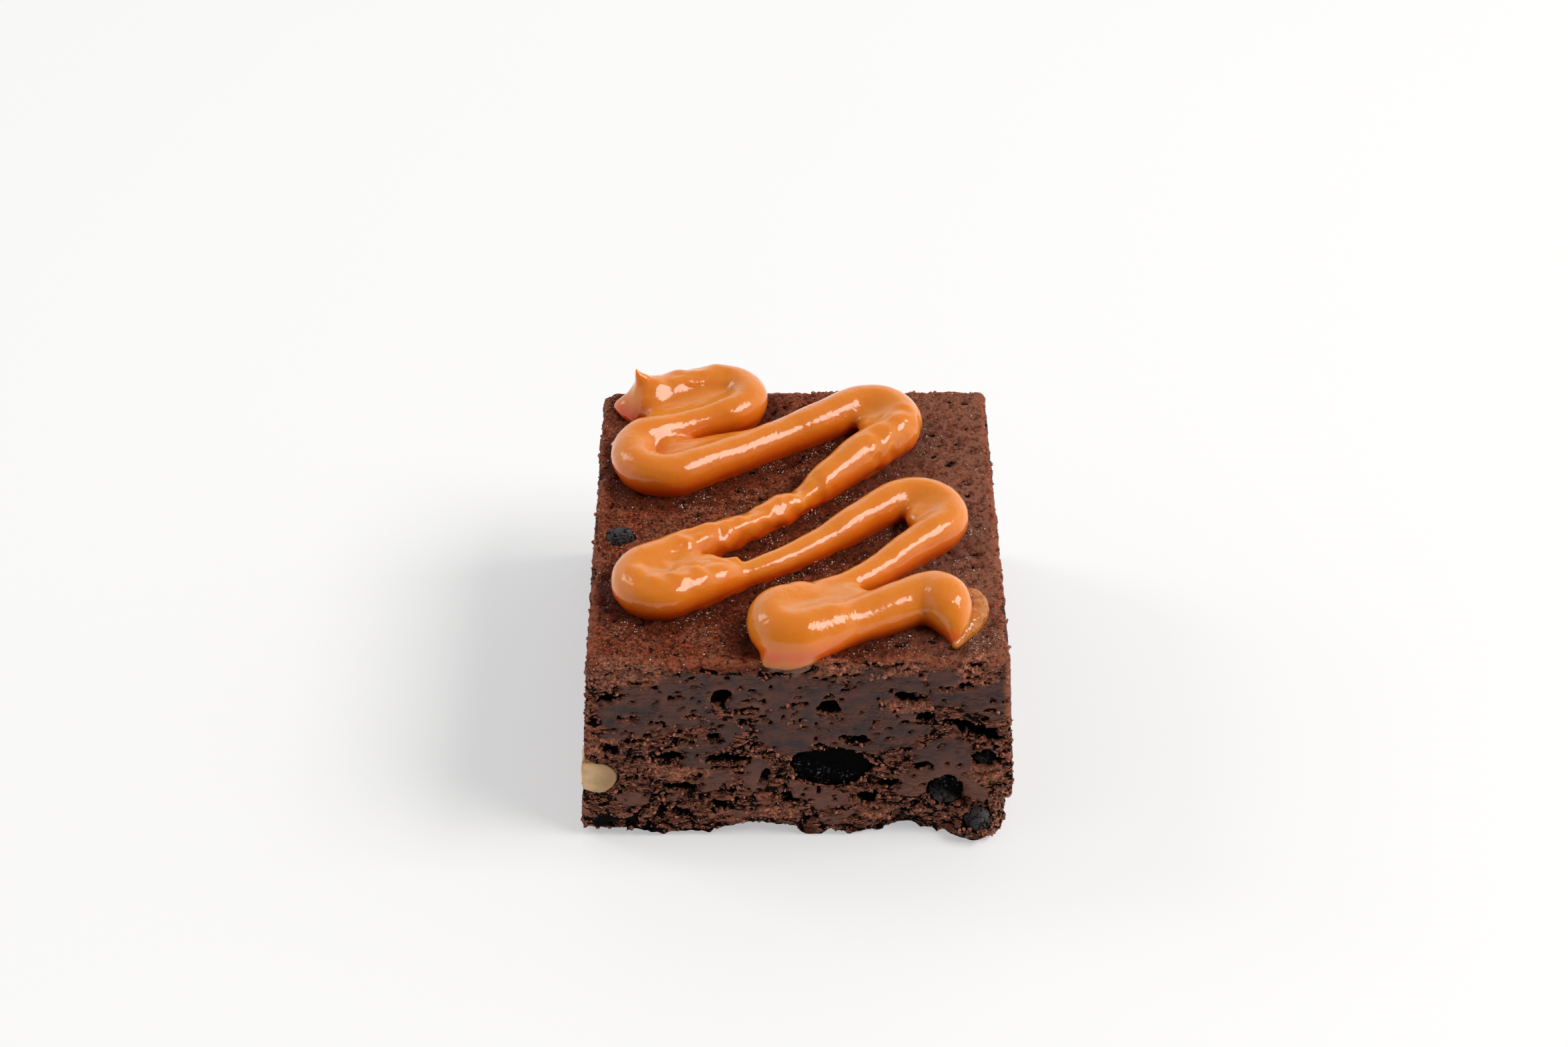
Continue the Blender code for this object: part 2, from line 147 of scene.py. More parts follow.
# How likely a loose crumb is: everywhere, and how much more on lips and in the other places named
CRUMB_CHANCES = {
    "everywhere": 0.012,
    "lips": 1.1,
    "ridges": 0.10,
    "edges": 0.7,
    "rubble": 0.9,
    "drifts": 1.2,
}
# How much grains differ in size, the least and the largest crumb, and how flat the flattest grains are
CRUMB_SPREAD = 0.45
CRUMB_LIMITS = (0.3, 1.9)
CRUMB_FLATNESS = 0.55
GRAIN_SPREAD = 0.35
GRAIN_FLATNESS = 0.6
# How uneven and how wide a grain is beside its size, from least to most
GRAIN_UNEVEN = (0.60, 1.40)
GRAIN_WIDTH = (0.75, 1.25)
# How far a crumb and a pale grain stand out of the cake, beside their size
CRUMB_STANDS = 0.15
GRAIN_STANDS = 0.5
# How likely a pale grain is: everywhere, and how much more at the front and beside the caramel, in drifts
GRAIN_CHANCES = {"everywhere": 0.15, "front": 0.35, "beside": 1.2, "between_drifts": 0.06}

# Tears: least and largest depth, and the depth beside the size of the opening
TEAR_DEPTH = (1.0 * MM, 2.0 * MM)
TEAR_DEPTH_SHARE = 0.4
# Tears of the other three sides: how many, how far apart and how much more so in height
TEARS_PER_HIDDEN_SIDE = 9
HOLLOWS_PER_HIDDEN_SIDE = 2
TEAR_SPACING = 4.6 * MM
SPACING_UPWARD = 1.4
SIDE_MARGIN = 4.0 * MM
HEIGHT_MARGIN = 3.2 * MM
PLACES_TRIED = 600
# Their sizes from least to most in millimetres, tilt in degrees, and how far out the hollows lie, 0 to 1
HIDDEN_TEAR = {"width": (1.6, 4.6), "opening": (0.9, 1.7), "tilt": (-16, 16)}
HIDDEN_HOLLOW = {"away": (0.3, 0.8), "width": (5.0, 8.0), "opening": (1.6, 3.0)}
# How ragged the walls of the tears and of the chips' pockets are, and the faces they are cut with
TEAR_RAGGED = 0.46 * MM
POCKET_RAGGED = 0.22 * MM
CUTTER_GRAIN = 0.28 * MM
# How uneven the lumps are that these are cut with, beside their radius
TEAR_UNEVEN = 0.45
POCKET_UNEVEN = 0.24
BALL_UNEVEN = 0.12
BITE_UNEVEN = 0.3
CORNER_UNEVEN = 0.2

# Relief of the smears and of the crust
SMEAR_RELIEF = 0.07 * MM
CRUST_RELIEF = 0.14 * MM
PIT_DEPTH = 0.29 * MM
SWELL_HEIGHT = 0.20 * MM
# Heights that count in full as a ridge and as a valley
RIDGE = 0.045 * MM
VALLEY = 0.40 * MM
# Rounds of averaging with neighbours that tell ridges, valleys, lips, halos and the crust's soft border
RIDGE_ROUNDS = 5
VALLEY_ROUNDS = 26
LIP_ROUNDS = 5
HALO_ROUNDS = 22
CRUST_ROUNDS = 4

# How far the rim of the foot rises where it is ragged
FOOT_RISE = 0.75 * MM
# How dark the hollows under the foot are, 0 to 1
FOOT_SHADE = 0.42
# Nearly black places low on the front: place, half sizes
SHADED = (
    ((-21.0, -25.3, 2.1), (2.4, 2.0, 1.0)),
    ((-17.6, -25.3, 2.3), (1.6, 2.0, 0.8)),
    ((-15.8, -25.3, 0.8), (2.6, 2.0, 0.8)),
)

# Where the broken corner lies open to the light: place, reach of the full light, reach of the last of it
OPEN_CORNER = ((22.0, -24.5, 4.0), 3.5, 6.5)
# Broken lower corner at the front right: centre and half sizes of the bites and of the crumb below
CORNER_BITES = (
    ((25.6, -25.0, 2.2), (4.2, 10.5, 4.6)),
    ((23.4, -27.0, 6.2), (2.6, 2.6, 1.6)),
)
CORNER_LUMP = ((19.0, -23.9, 1.4), (3.1, 2.7, 2.6))

# Thin film of caramel that ran over the front edge: middle, half sizes
FILM = ((-0.7, -24.9, 23.2), (3.2, 2.6, 1.15))
# Colour of the dry crust, as shares of the crust's own red, green and blue
DRY_CRUST = (1.14, 2.05, 3.20)

# Noise that the shapes follow, by its use: size of its waves, squeeze along X, Y and Z, shift
NOISES = {
    "wall": (1.2 * MM, (1.0, 1.0, 2.2), 0.0),
    "wall_flakes": (0.55 * MM, (1.0, 1.0, 1.5), 0.0),
    "smears": (6.4 * MM, (1.0, 1.0, 1.5), 4.0),
    "smear_rims": (2.0 * MM, (1.0, 1.0, 1.8), 0.0),
    "rubble_rims": (1.5 * MM, (1.0, 1.0, 1.4), 83.0),
    "crust_rim": (2.6 * MM, EVEN, 47.0),
    "crust_breaks": (4.2 * MM, EVEN, 53.0),
    "tears": (2.3 * MM, (1.0, 1.0, 3.0), 11.0),
    "tear_rims": (0.95 * MM, (1.0, 1.0, 2.2), 3.0),
    "cracks": (1.7 * MM, (1.0, 1.0, 3.6), 17.0),
    "cracked": (2.6 * MM, EVEN, 23.0),
    "pocks": (0.9 * MM, (1.0, 1.0, 1.7), 59.0),
    "lumps": (1.0 * MM, (1.0, 1.0, 1.5), 29.0),
    "small_lumps": (0.5 * MM, EVEN, 31.0),
    "pits": (1.1 * MM, EVEN, 37.0),
    "swells": (2.4 * MM, EVEN, 41.0),
    "foot": (3.2 * MM, (1.0, 1.0, 0.2), 71.0),
    "foot_rim": (1.0 * MM, (1.0, 1.0, 0.4), 73.0),
    "film_rim": (1.2 * MM, EVEN, 5.0),
    "wet_rim": (3.0 * MM, EVEN, 67.0),
    "shade_rims": (0.9 * MM, (1.0, 1.0, 1.6), 79.0),
    "drifts": (2.2 * MM, EVEN, 61.0),
    "pale_drifts": (4.0 * MM, EVEN, 13.0),
    "waves": (3.6 * MM, EVEN, 2.0),
    "small_waves": (1.8 * MM, EVEN, 9.0),
    "beads": (1.5 * MM, EVEN, 19.0),
    "ridges": (0.9 * MM, (0.6, 0.6, 2.4), 3.0),
    "small_ridges": (0.4 * MM, EVEN, 8.0),
    "dents": (1.9 * MM, EVEN, 6.0),
    "small_dents": (0.6 * MM, EVEN, 2.0),
}

# Ranges over which a share goes from 0 to 1, by its use, each in the measure of what it is taken from
RANGES = {
    "off_edge": (0.3 * MM, 1.1 * MM),
    "high": (0.93, 0.99),
    "low": (-0.16, -0.04),
    "out_of_smear": (0.55, 1.25),
    "smear": (-0.06, 0.26),
    "out_of_rubble": (0.6, 1.1),
    "rolled_crust": (BLOCK_HEIGHT - 1.7 * MM, BLOCK_HEIGHT - 1.0 * MM),
    "crust_breaks": (0.16, 0.34),
    "out_of_break": (0.7, 1.1),
    "level": (0.45, 0.8),
    "facing_up": (0.6, 0.9),
    "tear": (0.0, 0.12),
    "cracked": (-0.06, 0.10),
    "pocks": (0.42, 0.54),
    "pits": (0.10, 0.32),
    "inside_foot": (0.4 * MM, 2.6 * MM),
    "above_foot": (0.0, 1.8 * MM),
    "out_of_film": (0.75, 1.05),
    "hollow": (0.15 * MM, 1.3 * MM),
    "valley": (0.25, 1.1),
    "above_table": (1.6 * MM, 3.0 * MM),
    "out_of_shade": (0.6, 1.1),
    "base": (-0.5 * MM, -0.15 * MM),
    "halo": (0.05, 0.26),
    "dry": (0.6, 3.2),
    "thick": (1.3, 2.1),
    "above_crust": (BLOCK_HEIGHT + 0.3 * MM, BLOCK_HEIGHT + 1.6 * MM),
    "in_pocket": (0.1 * MM, 0.5 * MM),
    "unlit": (0.55, 0.95),
    "lip": (0.08, 0.24),
    "in_tear": (0.2, 0.45),
    "deep_in_tear": (0.3, 0.6),
    "drifts": (0.0, 0.35),
    "pale_drifts": (-0.25, 0.25),
    "backward": (-24.0 * MM, 24.0 * MM),
}

# Inclusions: side, distance along the face, height, width, height, tilt in degrees
CHIPS = {
    "chip_centre": ("front", 3.6, 9.4, 8.6, 5.4, 0),
    "chip_right": ("front", 15.8, 6.0, 3.8, 4.0, 20),
    "chip_small": ("front", 19.9, 10.5, 2.6, 1.9, 0),
    "chip_back": ("back", -8.5, 8.2, 8.0, 5.6, 6),
    "chip_back_small": ("back", 11.0, 14.6, 5.4, 3.6, -14),
    "chip_left": ("left", 6.0, 9.0, 7.6, 5.2, -8),
    "chip_left_small": ("left", -12.5, 15.0, 4.2, 3.2, 10),
    "chip_side": ("right", -6.5, 8.6, 8.2, 5.4, 8),
    "chip_side_small": ("right", 11.5, 15.2, 4.6, 3.4, -6),
}
CHIP_DEPTH_SHARE = 0.42
CHIP_RIM = 0.32 * MM
CHIP_DISH = 0.85 * MM
CHIP_RELIEF = 0.10 * MM
PROUD_CHIP_RELIEF = 0.20 * MM
# Chips that stand out of the crumb instead of lying in a dish
PROUD_CHIPS = ("chip_top", "chip_corner")
# How dusted a chip looks, 0 to 1; the others are bare. On a chip in a dish it shows only on the lower left,
# as painted light
DUSTED = {"chip_top": 0.75, "chip_corner": 1.0, "chip_right": 0.50, "chip_small": 0.25}
CORNER_CHIP = {"tip": (19.3, -26.4, 2.3), "radius": 1.5, "length": 2.6}
TOP_CHIP = {"place": (-19.3, -2.9), "width": 3.2, "stands": 0.35}
NUT = {"middle": (-21.7, -23.6, 8.3), "size": (5.4, 5.0, 4.4), "tilt": 12}
NUT_SQUARENESS = 2.3
NUT_RELIEF = 0.12 * MM
TOP_SQUARENESS = 4.0
GAP = 0.30 * MM
# How far the ragged pockets reach past the rims of the chips
POCKET_MARGIN = 0.22 * MM

# Caramel zigzag: the strand is laid round pegs, turning right and left in turn.
# Each peg: x, y, turning radius, strand radius there.
# Each run: bow, then shares of the run, each with the strand radius there.
STRAND_START = (-16.5, 20.8)
START_RADIUS = 2.55
PEGS = (
    (-8.5, 20.5, 3.2, 2.30),
    (-14.4, 9.8, 3.9, 2.40),
    (8.5, 15.5, 3.5, 2.48),
    (-14.6, -13.1, 2.8, 2.45),
    (13.0, -1.9, 3.6, 2.24),
    (-0.4, -20.7, 2.2, 2.86),
    (14.6, -19.9, 3.7, 2.66),
)
RUNS = (
    (-0.1, ((0.35, 2.42), (0.75, 2.28))),
    (0.1, ((0.35, 2.05), (0.65, 2.10))),
    (0.0, ((0.30, 2.18), (0.55, 2.10), (0.80, 2.30))),
    (-1.4, (
        (0.12, 2.45), (0.27, 2.05), (0.41, 1.38), (0.50, 1.66), (0.60, 1.56), (0.72, 1.86), (0.88, 2.20))),
    (1.1, ((0.08, 2.48), (0.17, 2.10), (0.29, 1.34), (0.45, 1.44), (0.62, 1.60), (0.80, 1.95))),
    (-0.6, ((0.20, 2.02), (0.42, 1.74), (0.60, 1.68), (0.76, 1.95), (0.90, 2.55))),
    (0.0, ((0.18, 2.80), (0.42, 2.42), (0.75, 2.55))),
)
# The curl that ends the strand: x, y, strand radius
END_CURL = (
    (14.4, -16.5, 2.85),
    (15.2, -17.4, 3.00),
    (15.9, -18.8, 2.65),
    (16.3, -20.2, 1.75),
    (16.4, -21.5, 0.80),
    (16.3, -22.6, 0.35),
)
# Caramel that fills the inside of the turns: from, to, radius at each end, top above the crust
WEBS = (
    ((-9.2, 20.2), (-16.0, 16.4), 2.4, 1.2, 2.9),
    ((-13.6, 10.1), (-6.4, 12.9), 2.2, 1.0, 2.8),
    ((9.2, 15.7), (8.0, 14.5), 1.9, 1.2, 3.2),
    ((-14.2, -13.0), (-9.2, -9.9), 1.9, 0.9, 3.1),
    ((13.8, -1.7), (12.8, -2.6), 1.9, 1.2, 3.1),
    ((0.4, -19.6), (6.4, -16.2), 2.2, 1.0, 3.4),
)
WEB_SOFTNESS = 3.2
# Small drops and folds on the strand: from, to, radius at each end, top above the crust
FOLDS = (
    ((-11.6, -10.2), (-6.4, -10.5), 0.45, 0.45, 3.0),
    ((-20.65, 11.8), (-20.3, 11.7), 0.28, 0.28, 2.0),
)
# Stretches where the strand is beaded: from, to, reach
BEADED = (
    ((-11.0, -7.6), (2.0, 2.6), 2.4),
    ((-17.0, 21.0), (-9.0, 23.0), 2.4),
    ((-15.0, -14.5), (-11.0, -13.0), 3.4),
    ((9.0, 9.0), (12.5, 14.0), 2.6),
)
STRAND_STEP = 0.5 * MM
# How finely balls are divided, and stops along webs, flows and the peak
BALL_STEPS = 4
WEB_STOPS = 12
FLOW_STOPS = 14
# How fast a flow and the peak grow thin
FLOW_TAPER = 1.7
PEAK_TAPER = 1.6
# Rounds of smoothing, and of evening out where caramel has melted together
CARAMEL_SMOOTHED = 12
LOBE_SMOOTHED = 8
INCLUSION_SMOOTHED = 3
MELT_ROUNDS = 36
STRAND_SUNK = 0.28
FOOT_SHARE = 0.82
FOOT_DROP = 1.1 * MM
# The peak pulled up where the strand starts: place and radius of its foot and of its tip, height of its top
PEAK = {"foot": (-16.7, 20.8), "radius": 2.4, "tip": (-18.2, 20.8), "tip_radius": 0.20, "top": 29.95}
# Caramel that spreads from the strand, at each end: x, y, height of its middle above the crust, radius
FLOWS = (
    ((-16.9, 20.8, 1.7, 2.2), (-20.0, 20.9, 0.55, 1.10)),
    ((-16.8, 20.3, 1.6, 2.2), (-19.4, 19.6, 0.30, 0.95)),
    ((-16.6, 19.8, 1.6, 2.2), (-18.3, 18.5, 0.30, 0.95)),
    ((-16.8, 21.2, 1.7, 2.1), (-19.3, 21.9, 0.30, 0.90)),
    ((-1.0, -22.4, 1.2, 2.1), (-1.0, -24.3, -0.40, 1.30)),
    ((-2.2, -22.4, 1.0, 1.7), (-2.9, -24.1, -0.30, 1.15)),
    ((0.4, -22.4, 1.0, 1.7), (0.8, -24.1, -0.20, 1.05)),
    ((-2.6, -24.2, -0.35, 1.10), (0.6, -24.2, -0.25, 1.05)),
)
# The thin clear lobe beside the end of the strand, on the crust: x, y, radius
END_LOBE = (
    (17.6, -13.6, 0.60),
    (18.6, -14.5, 1.00),
    (19.1, -15.8, 1.15),
    (19.0, -17.2, 1.15),
    (18.2, -19.0, 1.15),
    (17.2, -20.8, 0.85),
    (16.4, -22.4, 0.45),
)
LOBE_FLATNESS = 1.15
LOBE_LIFT = 0.25 * MM
LOBE_GRAIN = 0.16 * MM
# Where the caramel is thin and golden besides the thin runs: place, reach
GOLDEN = (
    ((-21.1, 20.9, 24.4), 3.0),
    ((-18.2, 20.8, 30.0), 2.6),
)
# Where the caramel ends in a thin pale rim: place, reach
PALE_RIMS = (
    ((-1.2, -25.6, 22.9), 3.0),
    ((-3.3, -25.4, 23.1), 2.4),
    ((1.1, -25.4, 23.2), 2.3),
)
# Where what spreads from the strand is evened out: place, reach
MELTED = (
    ((-18.7, 20.2, 24.9), 3.9),
    ((-1.0, -24.2, 24.0), 3.6),
)

# Turn about Z that carries the front face, which looks along -Y, onto each side
SIDE_TURNS = {"front": 0, "right": 90, "back": 180, "left": 270}


# Properties

def length_property(name, description, default):
    return bpy.props.FloatProperty(
        name=name, description=description, default=default, min=0.0, unit="LENGTH", precision=5)


def strength_property(name, description, default):
    return bpy.props.FloatProperty(name=name, description=description, default=default, min=0.0)


def count_property(name, description, default):
    return bpy.props.IntProperty(name=name, description=description, default=default, min=0)


def colour_property(name, description, default):
    return bpy.props.FloatVectorProperty(
        name=name, description=description, default=default, subtype="COLOR", size=3, min=0.0, max=1.0)


class CrumbLook(bpy.types.PropertyGroup):
    """Sizes and colours of the cut cake."""

    grain_across: length_property("Grain across", "Width of the finest relief", 0.34 * MM)
    grain_up: length_property("Grain up", "Height of the finest relief", 0.25 * MM)
    tear_depth: length_property("Tear depth", "Depth of the small flaky tears", 0.85 * MM)
    crumb_depth: length_property("Crumb depth", "Relief of the torn crumb", 0.17 * MM)
    crumb: colour_property("Crumb", "Torn crumb", (0.300, 0.102, 0.066))
    crust: colour_property("Crust", "Top crust", (0.268, 0.051, 0.018))
    # pale_crust: painted sheen, the crust paler where the right softbox glances off it
    pale_crust: colour_property("Pale crust", "Crust where it is dry and pale", (0.360, 0.160, 0.105))
    smear: colour_property("Smear", "Patches that the knife smeared", (0.126, 0.057, 0.044))
    dusk: colour_property("Dusk", "Greyer parts of the smeared patches", (0.064, 0.045, 0.046))
    halo: colour_property("Halo", "Smeared crumb round tears and near the foot", (0.190, 0.083, 0.060))
    # lip: reddish crumb on the edges of tears and in the loose rubble; on the lips just below and above
    # each rip it is also a painted highlight
    lip: colour_property("Lip", "Crumbs on the edges of tears", (0.800, 0.310, 0.180))
    # edge: crumb on the worn edges, its brighter red partly real wear and partly a painted rim light where
    # light catches the edges
    edge: colour_property("Edge", "Crumb on the worn edges", (0.440, 0.115, 0.055))
    # hollow: painted shade, the nearly black colour of rips, cracks, holes and pits
    hollow: colour_property("Hollow", "Inside of tears", (0.004, 0.002, 0.0015))
    film: colour_property("Film", "Crumb under a thin film of caramel", (0.300, 0.158, 0.104))


class CaramelLook(bpy.types.PropertyGroup):
    """Sizes and colours of the caramel."""

    grain: length_property("Grain", "Size of the caramel's faces", 0.30 * MM)
    ripple: length_property("Ripple", "Height of the slow waves along the strand", 0.07 * MM)
    bead: length_property("Bead", "Height of the beads along the strand", 0.32 * MM)
    # body and low: the caramel paler high up, painted light and reflection from above, and deeper low near
    # the crust, painted shade
    body: colour_property("Body", "Caramel in a thick strand", (0.800, 0.248, 0.015))
    low: colour_property("Low", "Caramel close to the crust", (0.780, 0.085, 0.001))
    thin: colour_property("Thin", "Caramel in a thin strand", (0.810, 0.275, 0.018))
    rim: colour_property("Rim", "Caramel where it ends in a thin rim", (0.700, 0.190, 0.005))
    over: colour_property("Over", "Caramel film that ends on the crumb", (0.170, 0.045, 0.010))
    lobe: colour_property("Lobe", "Clear caramel of the thin lobe", (0.860, 0.270, 0.030))


class InclusionLook(bpy.types.PropertyGroup):
    """Sizes and colours of the chips and the nut."""

    grain: length_property("Grain", "Size of the faces of chips and nut", 0.16 * MM)
    chocolate: colour_property("Chocolate", "Cut chocolate chip", (0.0012, 0.0011, 0.0011))
    # dust: real dust on the chips that stand out; on chips in a dish only on the lower left, as painted
    # light
    dust: colour_property("Dust", "Chocolate that is dusted with crumb or bloom", (0.085, 0.074, 0.076))
    # chip_glint: painted glints, on the lower left of the chips where the light catches them
    chip_glint: colour_property("Bloom", "Glinting crystals on the chips", (0.160, 0.150, 0.150))
    nut: colour_property("Nut", "Cut nut", (0.740, 0.480, 0.240))
    # nut_brown: brown stains on the nut, also laid on darker towards the right
    nut_brown: colour_property("Nut skin", "Stains on the nut", (0.350, 0.200, 0.085))


class ScatterLook(bpy.types.PropertyGroup):
    """Numbers and sizes of the loose crumbs and of the glints on the crust."""

    crumbs: count_property("Crumbs", "Number of crumbs on the cut sides and edges", 9000)
    crumb_size: length_property("Crumb size", "Middling radius of a crumb", 0.138 * MM)
    glints: count_property("Glints", "Number of pale grains on the crust", 3200)
    glint_size: length_property("Glint size", "Middling radius of a pale grain", 0.052 * MM)
    crumb: colour_property("Crumb", "Loose crumb", (0.225, 0.078, 0.047))
    red_crumb: colour_property("Red crumb", "Loose crumb that catches the light", (0.600, 0.200, 0.110))
    # glint: the grains' pale colour, a painted glint
    glint: colour_property("Glint", "Pale grain", (0.860, 0.700, 0.560))


class StageLook(bpy.types.PropertyGroup):
    """Floor, light and camera."""

    floor: colour_property("Floor", "Floor", (0.612, 0.616, 0.622))
    glow: strength_property("Glow", "Light through the white table", 0.40)
    softbox: strength_property("Softbox", "Brightness of the softboxes", 8.4)
    surround: strength_property("Surround", "Brightness of the walls", 0.40)
    ceiling: strength_property("Ceiling", "Brightness of the ceiling", 0.32)
    front: strength_property("Front", "Brightness behind the camera", 0.12)
    horizon: strength_property("Horizon", "Brightness of the white sweep", 0.90)


LOOKS = {
    "brownie_crumb_look": CrumbLook,
    "brownie_caramel_look": CaramelLook,
    "brownie_inclusion_look": InclusionLook,
    "brownie_scatter_look": ScatterLook,
    "brownie_stage_look": StageLook,
}


# Mesh tools

def deselect_all():
    if bpy.context.object and bpy.context.object.mode != "OBJECT":
        bpy.ops.object.mode_set(mode="OBJECT")
    bpy.ops.object.select_all(action="DESELECT")


def pick(*objects):
    """Select these objects alone, the first of them active."""
    deselect_all()
    for obj in objects:
        obj.select_set(True)
    bpy.context.view_layer.objects.active = objects[0]


def settle(obj):
    """Put the object's place, turn and size in its mesh."""
    pick(obj)
    bpy.ops.object.transform_apply(location=True, rotation=True, scale=True)


def join(objects, name):
    pick(*objects)
    if len(objects) > 1:
        bpy.ops.object.join()
    joined = bpy.context.object
    joined.name = name
    joined.data.name = name
    settle(joined)
    return joined


def apply_modifier(obj, kind, **settings):
    pick(obj)
    modifier = obj.modifiers.new(kind.title(), kind)
    for key, value in settings.items():
        setattr(modifier, key, value)
    bpy.ops.object.modifier_apply(modifier=modifier.name)


def cut(obj, cutter, operation="DIFFERENCE"):
    apply_modifier(obj, "BOOLEAN", object=cutter, operation=operation, solver="MANIFOLD")
    bpy.data.objects.remove(cutter)


def remesh(obj, across, up=None):
    """Even out the faces, to a width and, where it differs, a height."""
    up = up or across
    squeeze = Matrix.Diagonal((1.0, 1.0, across / up, 1.0))
    obj.data.transform(squeeze)
    apply_modifier(obj, "REMESH", mode="VOXEL", voxel_size=across, adaptivity=0.0)
    obj.data.transform(squeeze.inverted())


def in_edit_mode(obj, select_mode):
    pick(obj)
    bpy.ops.object.mode_set(mode="EDIT")
    bpy.ops.mesh.select_mode(type=select_mode)
    bpy.ops.mesh.select_all(action="DESELECT")
    return bmesh.from_edit_mesh(obj.data)


def leave_edit_mode(obj):
    bmesh.update_edit_mesh(obj.data)
    bpy.ops.object.mode_set(mode="OBJECT")


def points_of(obj):
    flat = np.empty(len(obj.data.vertices) * 3)
    obj.data.vertices.foreach_get("co", flat)
    return flat.reshape(-1, 3)


def normals_of(obj):
    flat = np.empty(len(obj.data.vertices) * 3)
    obj.data.vertices.foreach_get("normal", flat)
    return flat.reshape(-1, 3)


def edges_of(obj):
    flat = np.empty(len(obj.data.edges) * 2, np.int32)
    obj.data.edges.foreach_get("vertices", flat)
    return flat.reshape(-1, 2)


def put_points(obj, points):
    obj.data.vertices.foreach_set("co", np.ascontiguousarray(points, np.float32).ravel())
    obj.data.update()


def put_attribute(obj, name, values):
    attribute = obj.data.attributes.new(name, "FLOAT", "POINT")
    attribute.data.foreach_set("value", np.ascontiguousarray(values, np.float32))


def noise_at(points, size, stretch, shift):
    """Smooth noise at each point, with lumps of a size, squeezed along each axis by its stretch."""
    placed = points * (np.array(stretch) / size) + shift
    return np.array([noise.noise(row) for row in placed.tolist()])


def waves(points, use):
    """The smooth noise stated for a use, at each point."""
    return noise_at(points, *NOISES[use])


def share(values, use):
    """How far values are through the range stated for a use, 0 to 1."""
    return step_between(values, *RANGES[use])


def near_place(points, place, inner, outer):
    """How close each point is to a place in millimetres: 1 to the inner distance, 0 from the outer."""
    return 1.0 - step_between(np.linalg.norm(points / MM - place, axis=1), inner, outer)


def step_between(values, low, high):
    share = np.clip((values - low) / (high - low), 0.0, 1.0)
    return share * share * (3.0 - 2.0 * share)


def eased(values, edges, rounds):
    """Each row averaged with its neighbours' rows along the edges, again and again."""
    size = len(values)
    first, second = edges[:, 0], edges[:, 1]
    count = np.bincount(edges.ravel(), minlength=size)
    count = np.maximum(count, 1)
    for _ in range(rounds):
        total = np.empty_like(values)
        for column in range(values.shape[1]):
            old = values[:, column]
            total[:, column] = np.bincount(first, weights=old[second], minlength=size)
            total[:, column] += np.bincount(second, weights=old[first], minlength=size)
        values = 0.5 * values + 0.5 * total / count[:, None]
    return values


def finish_piece(piece, slot, material, *nodes):
    """Hand a finished piece over: its material, its body and the nodes it stands for. The slot is not used.
    """
    piece.data.materials.clear()
    piece.data.materials.append(material)
    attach(piece, BODY)
    if nodes:
        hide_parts(*nodes)


# Materials

def shaded(colour, share):
    """A colour made darker or brighter."""
    return [part * share for part in colour]


class Field:
    """A value that varies over the surface. It is reckoned with as a number is, each step a node."""

    def __init__(self, finish, socket):
        self.finish = finish
        self.socket = socket

    def __add__(self, other):
        return self.finish.math("ADD", self, other)

    def __sub__(self, other):
        return self.finish.math("SUBTRACT", self, other)

    def __rsub__(self, other):
        return self.finish.math("SUBTRACT", other, self)

    def __mul__(self, other):
        return self.finish.math("MULTIPLY", self, other)

    def __abs__(self):
        return self.finish.math("ABSOLUTE", self)

    def between(self, low, high, to_low=0.0, to_high=1.0):
        """Eased from one number to another, where the value goes from low to high."""
        inputs = {"Value": self, "From Min": low, "From Max": high, "To Min": to_low, "To Max": to_high}
        return self.finish.add("ShaderNodeMapRange", "Result", inputs, interpolation_type="SMOOTHSTEP")


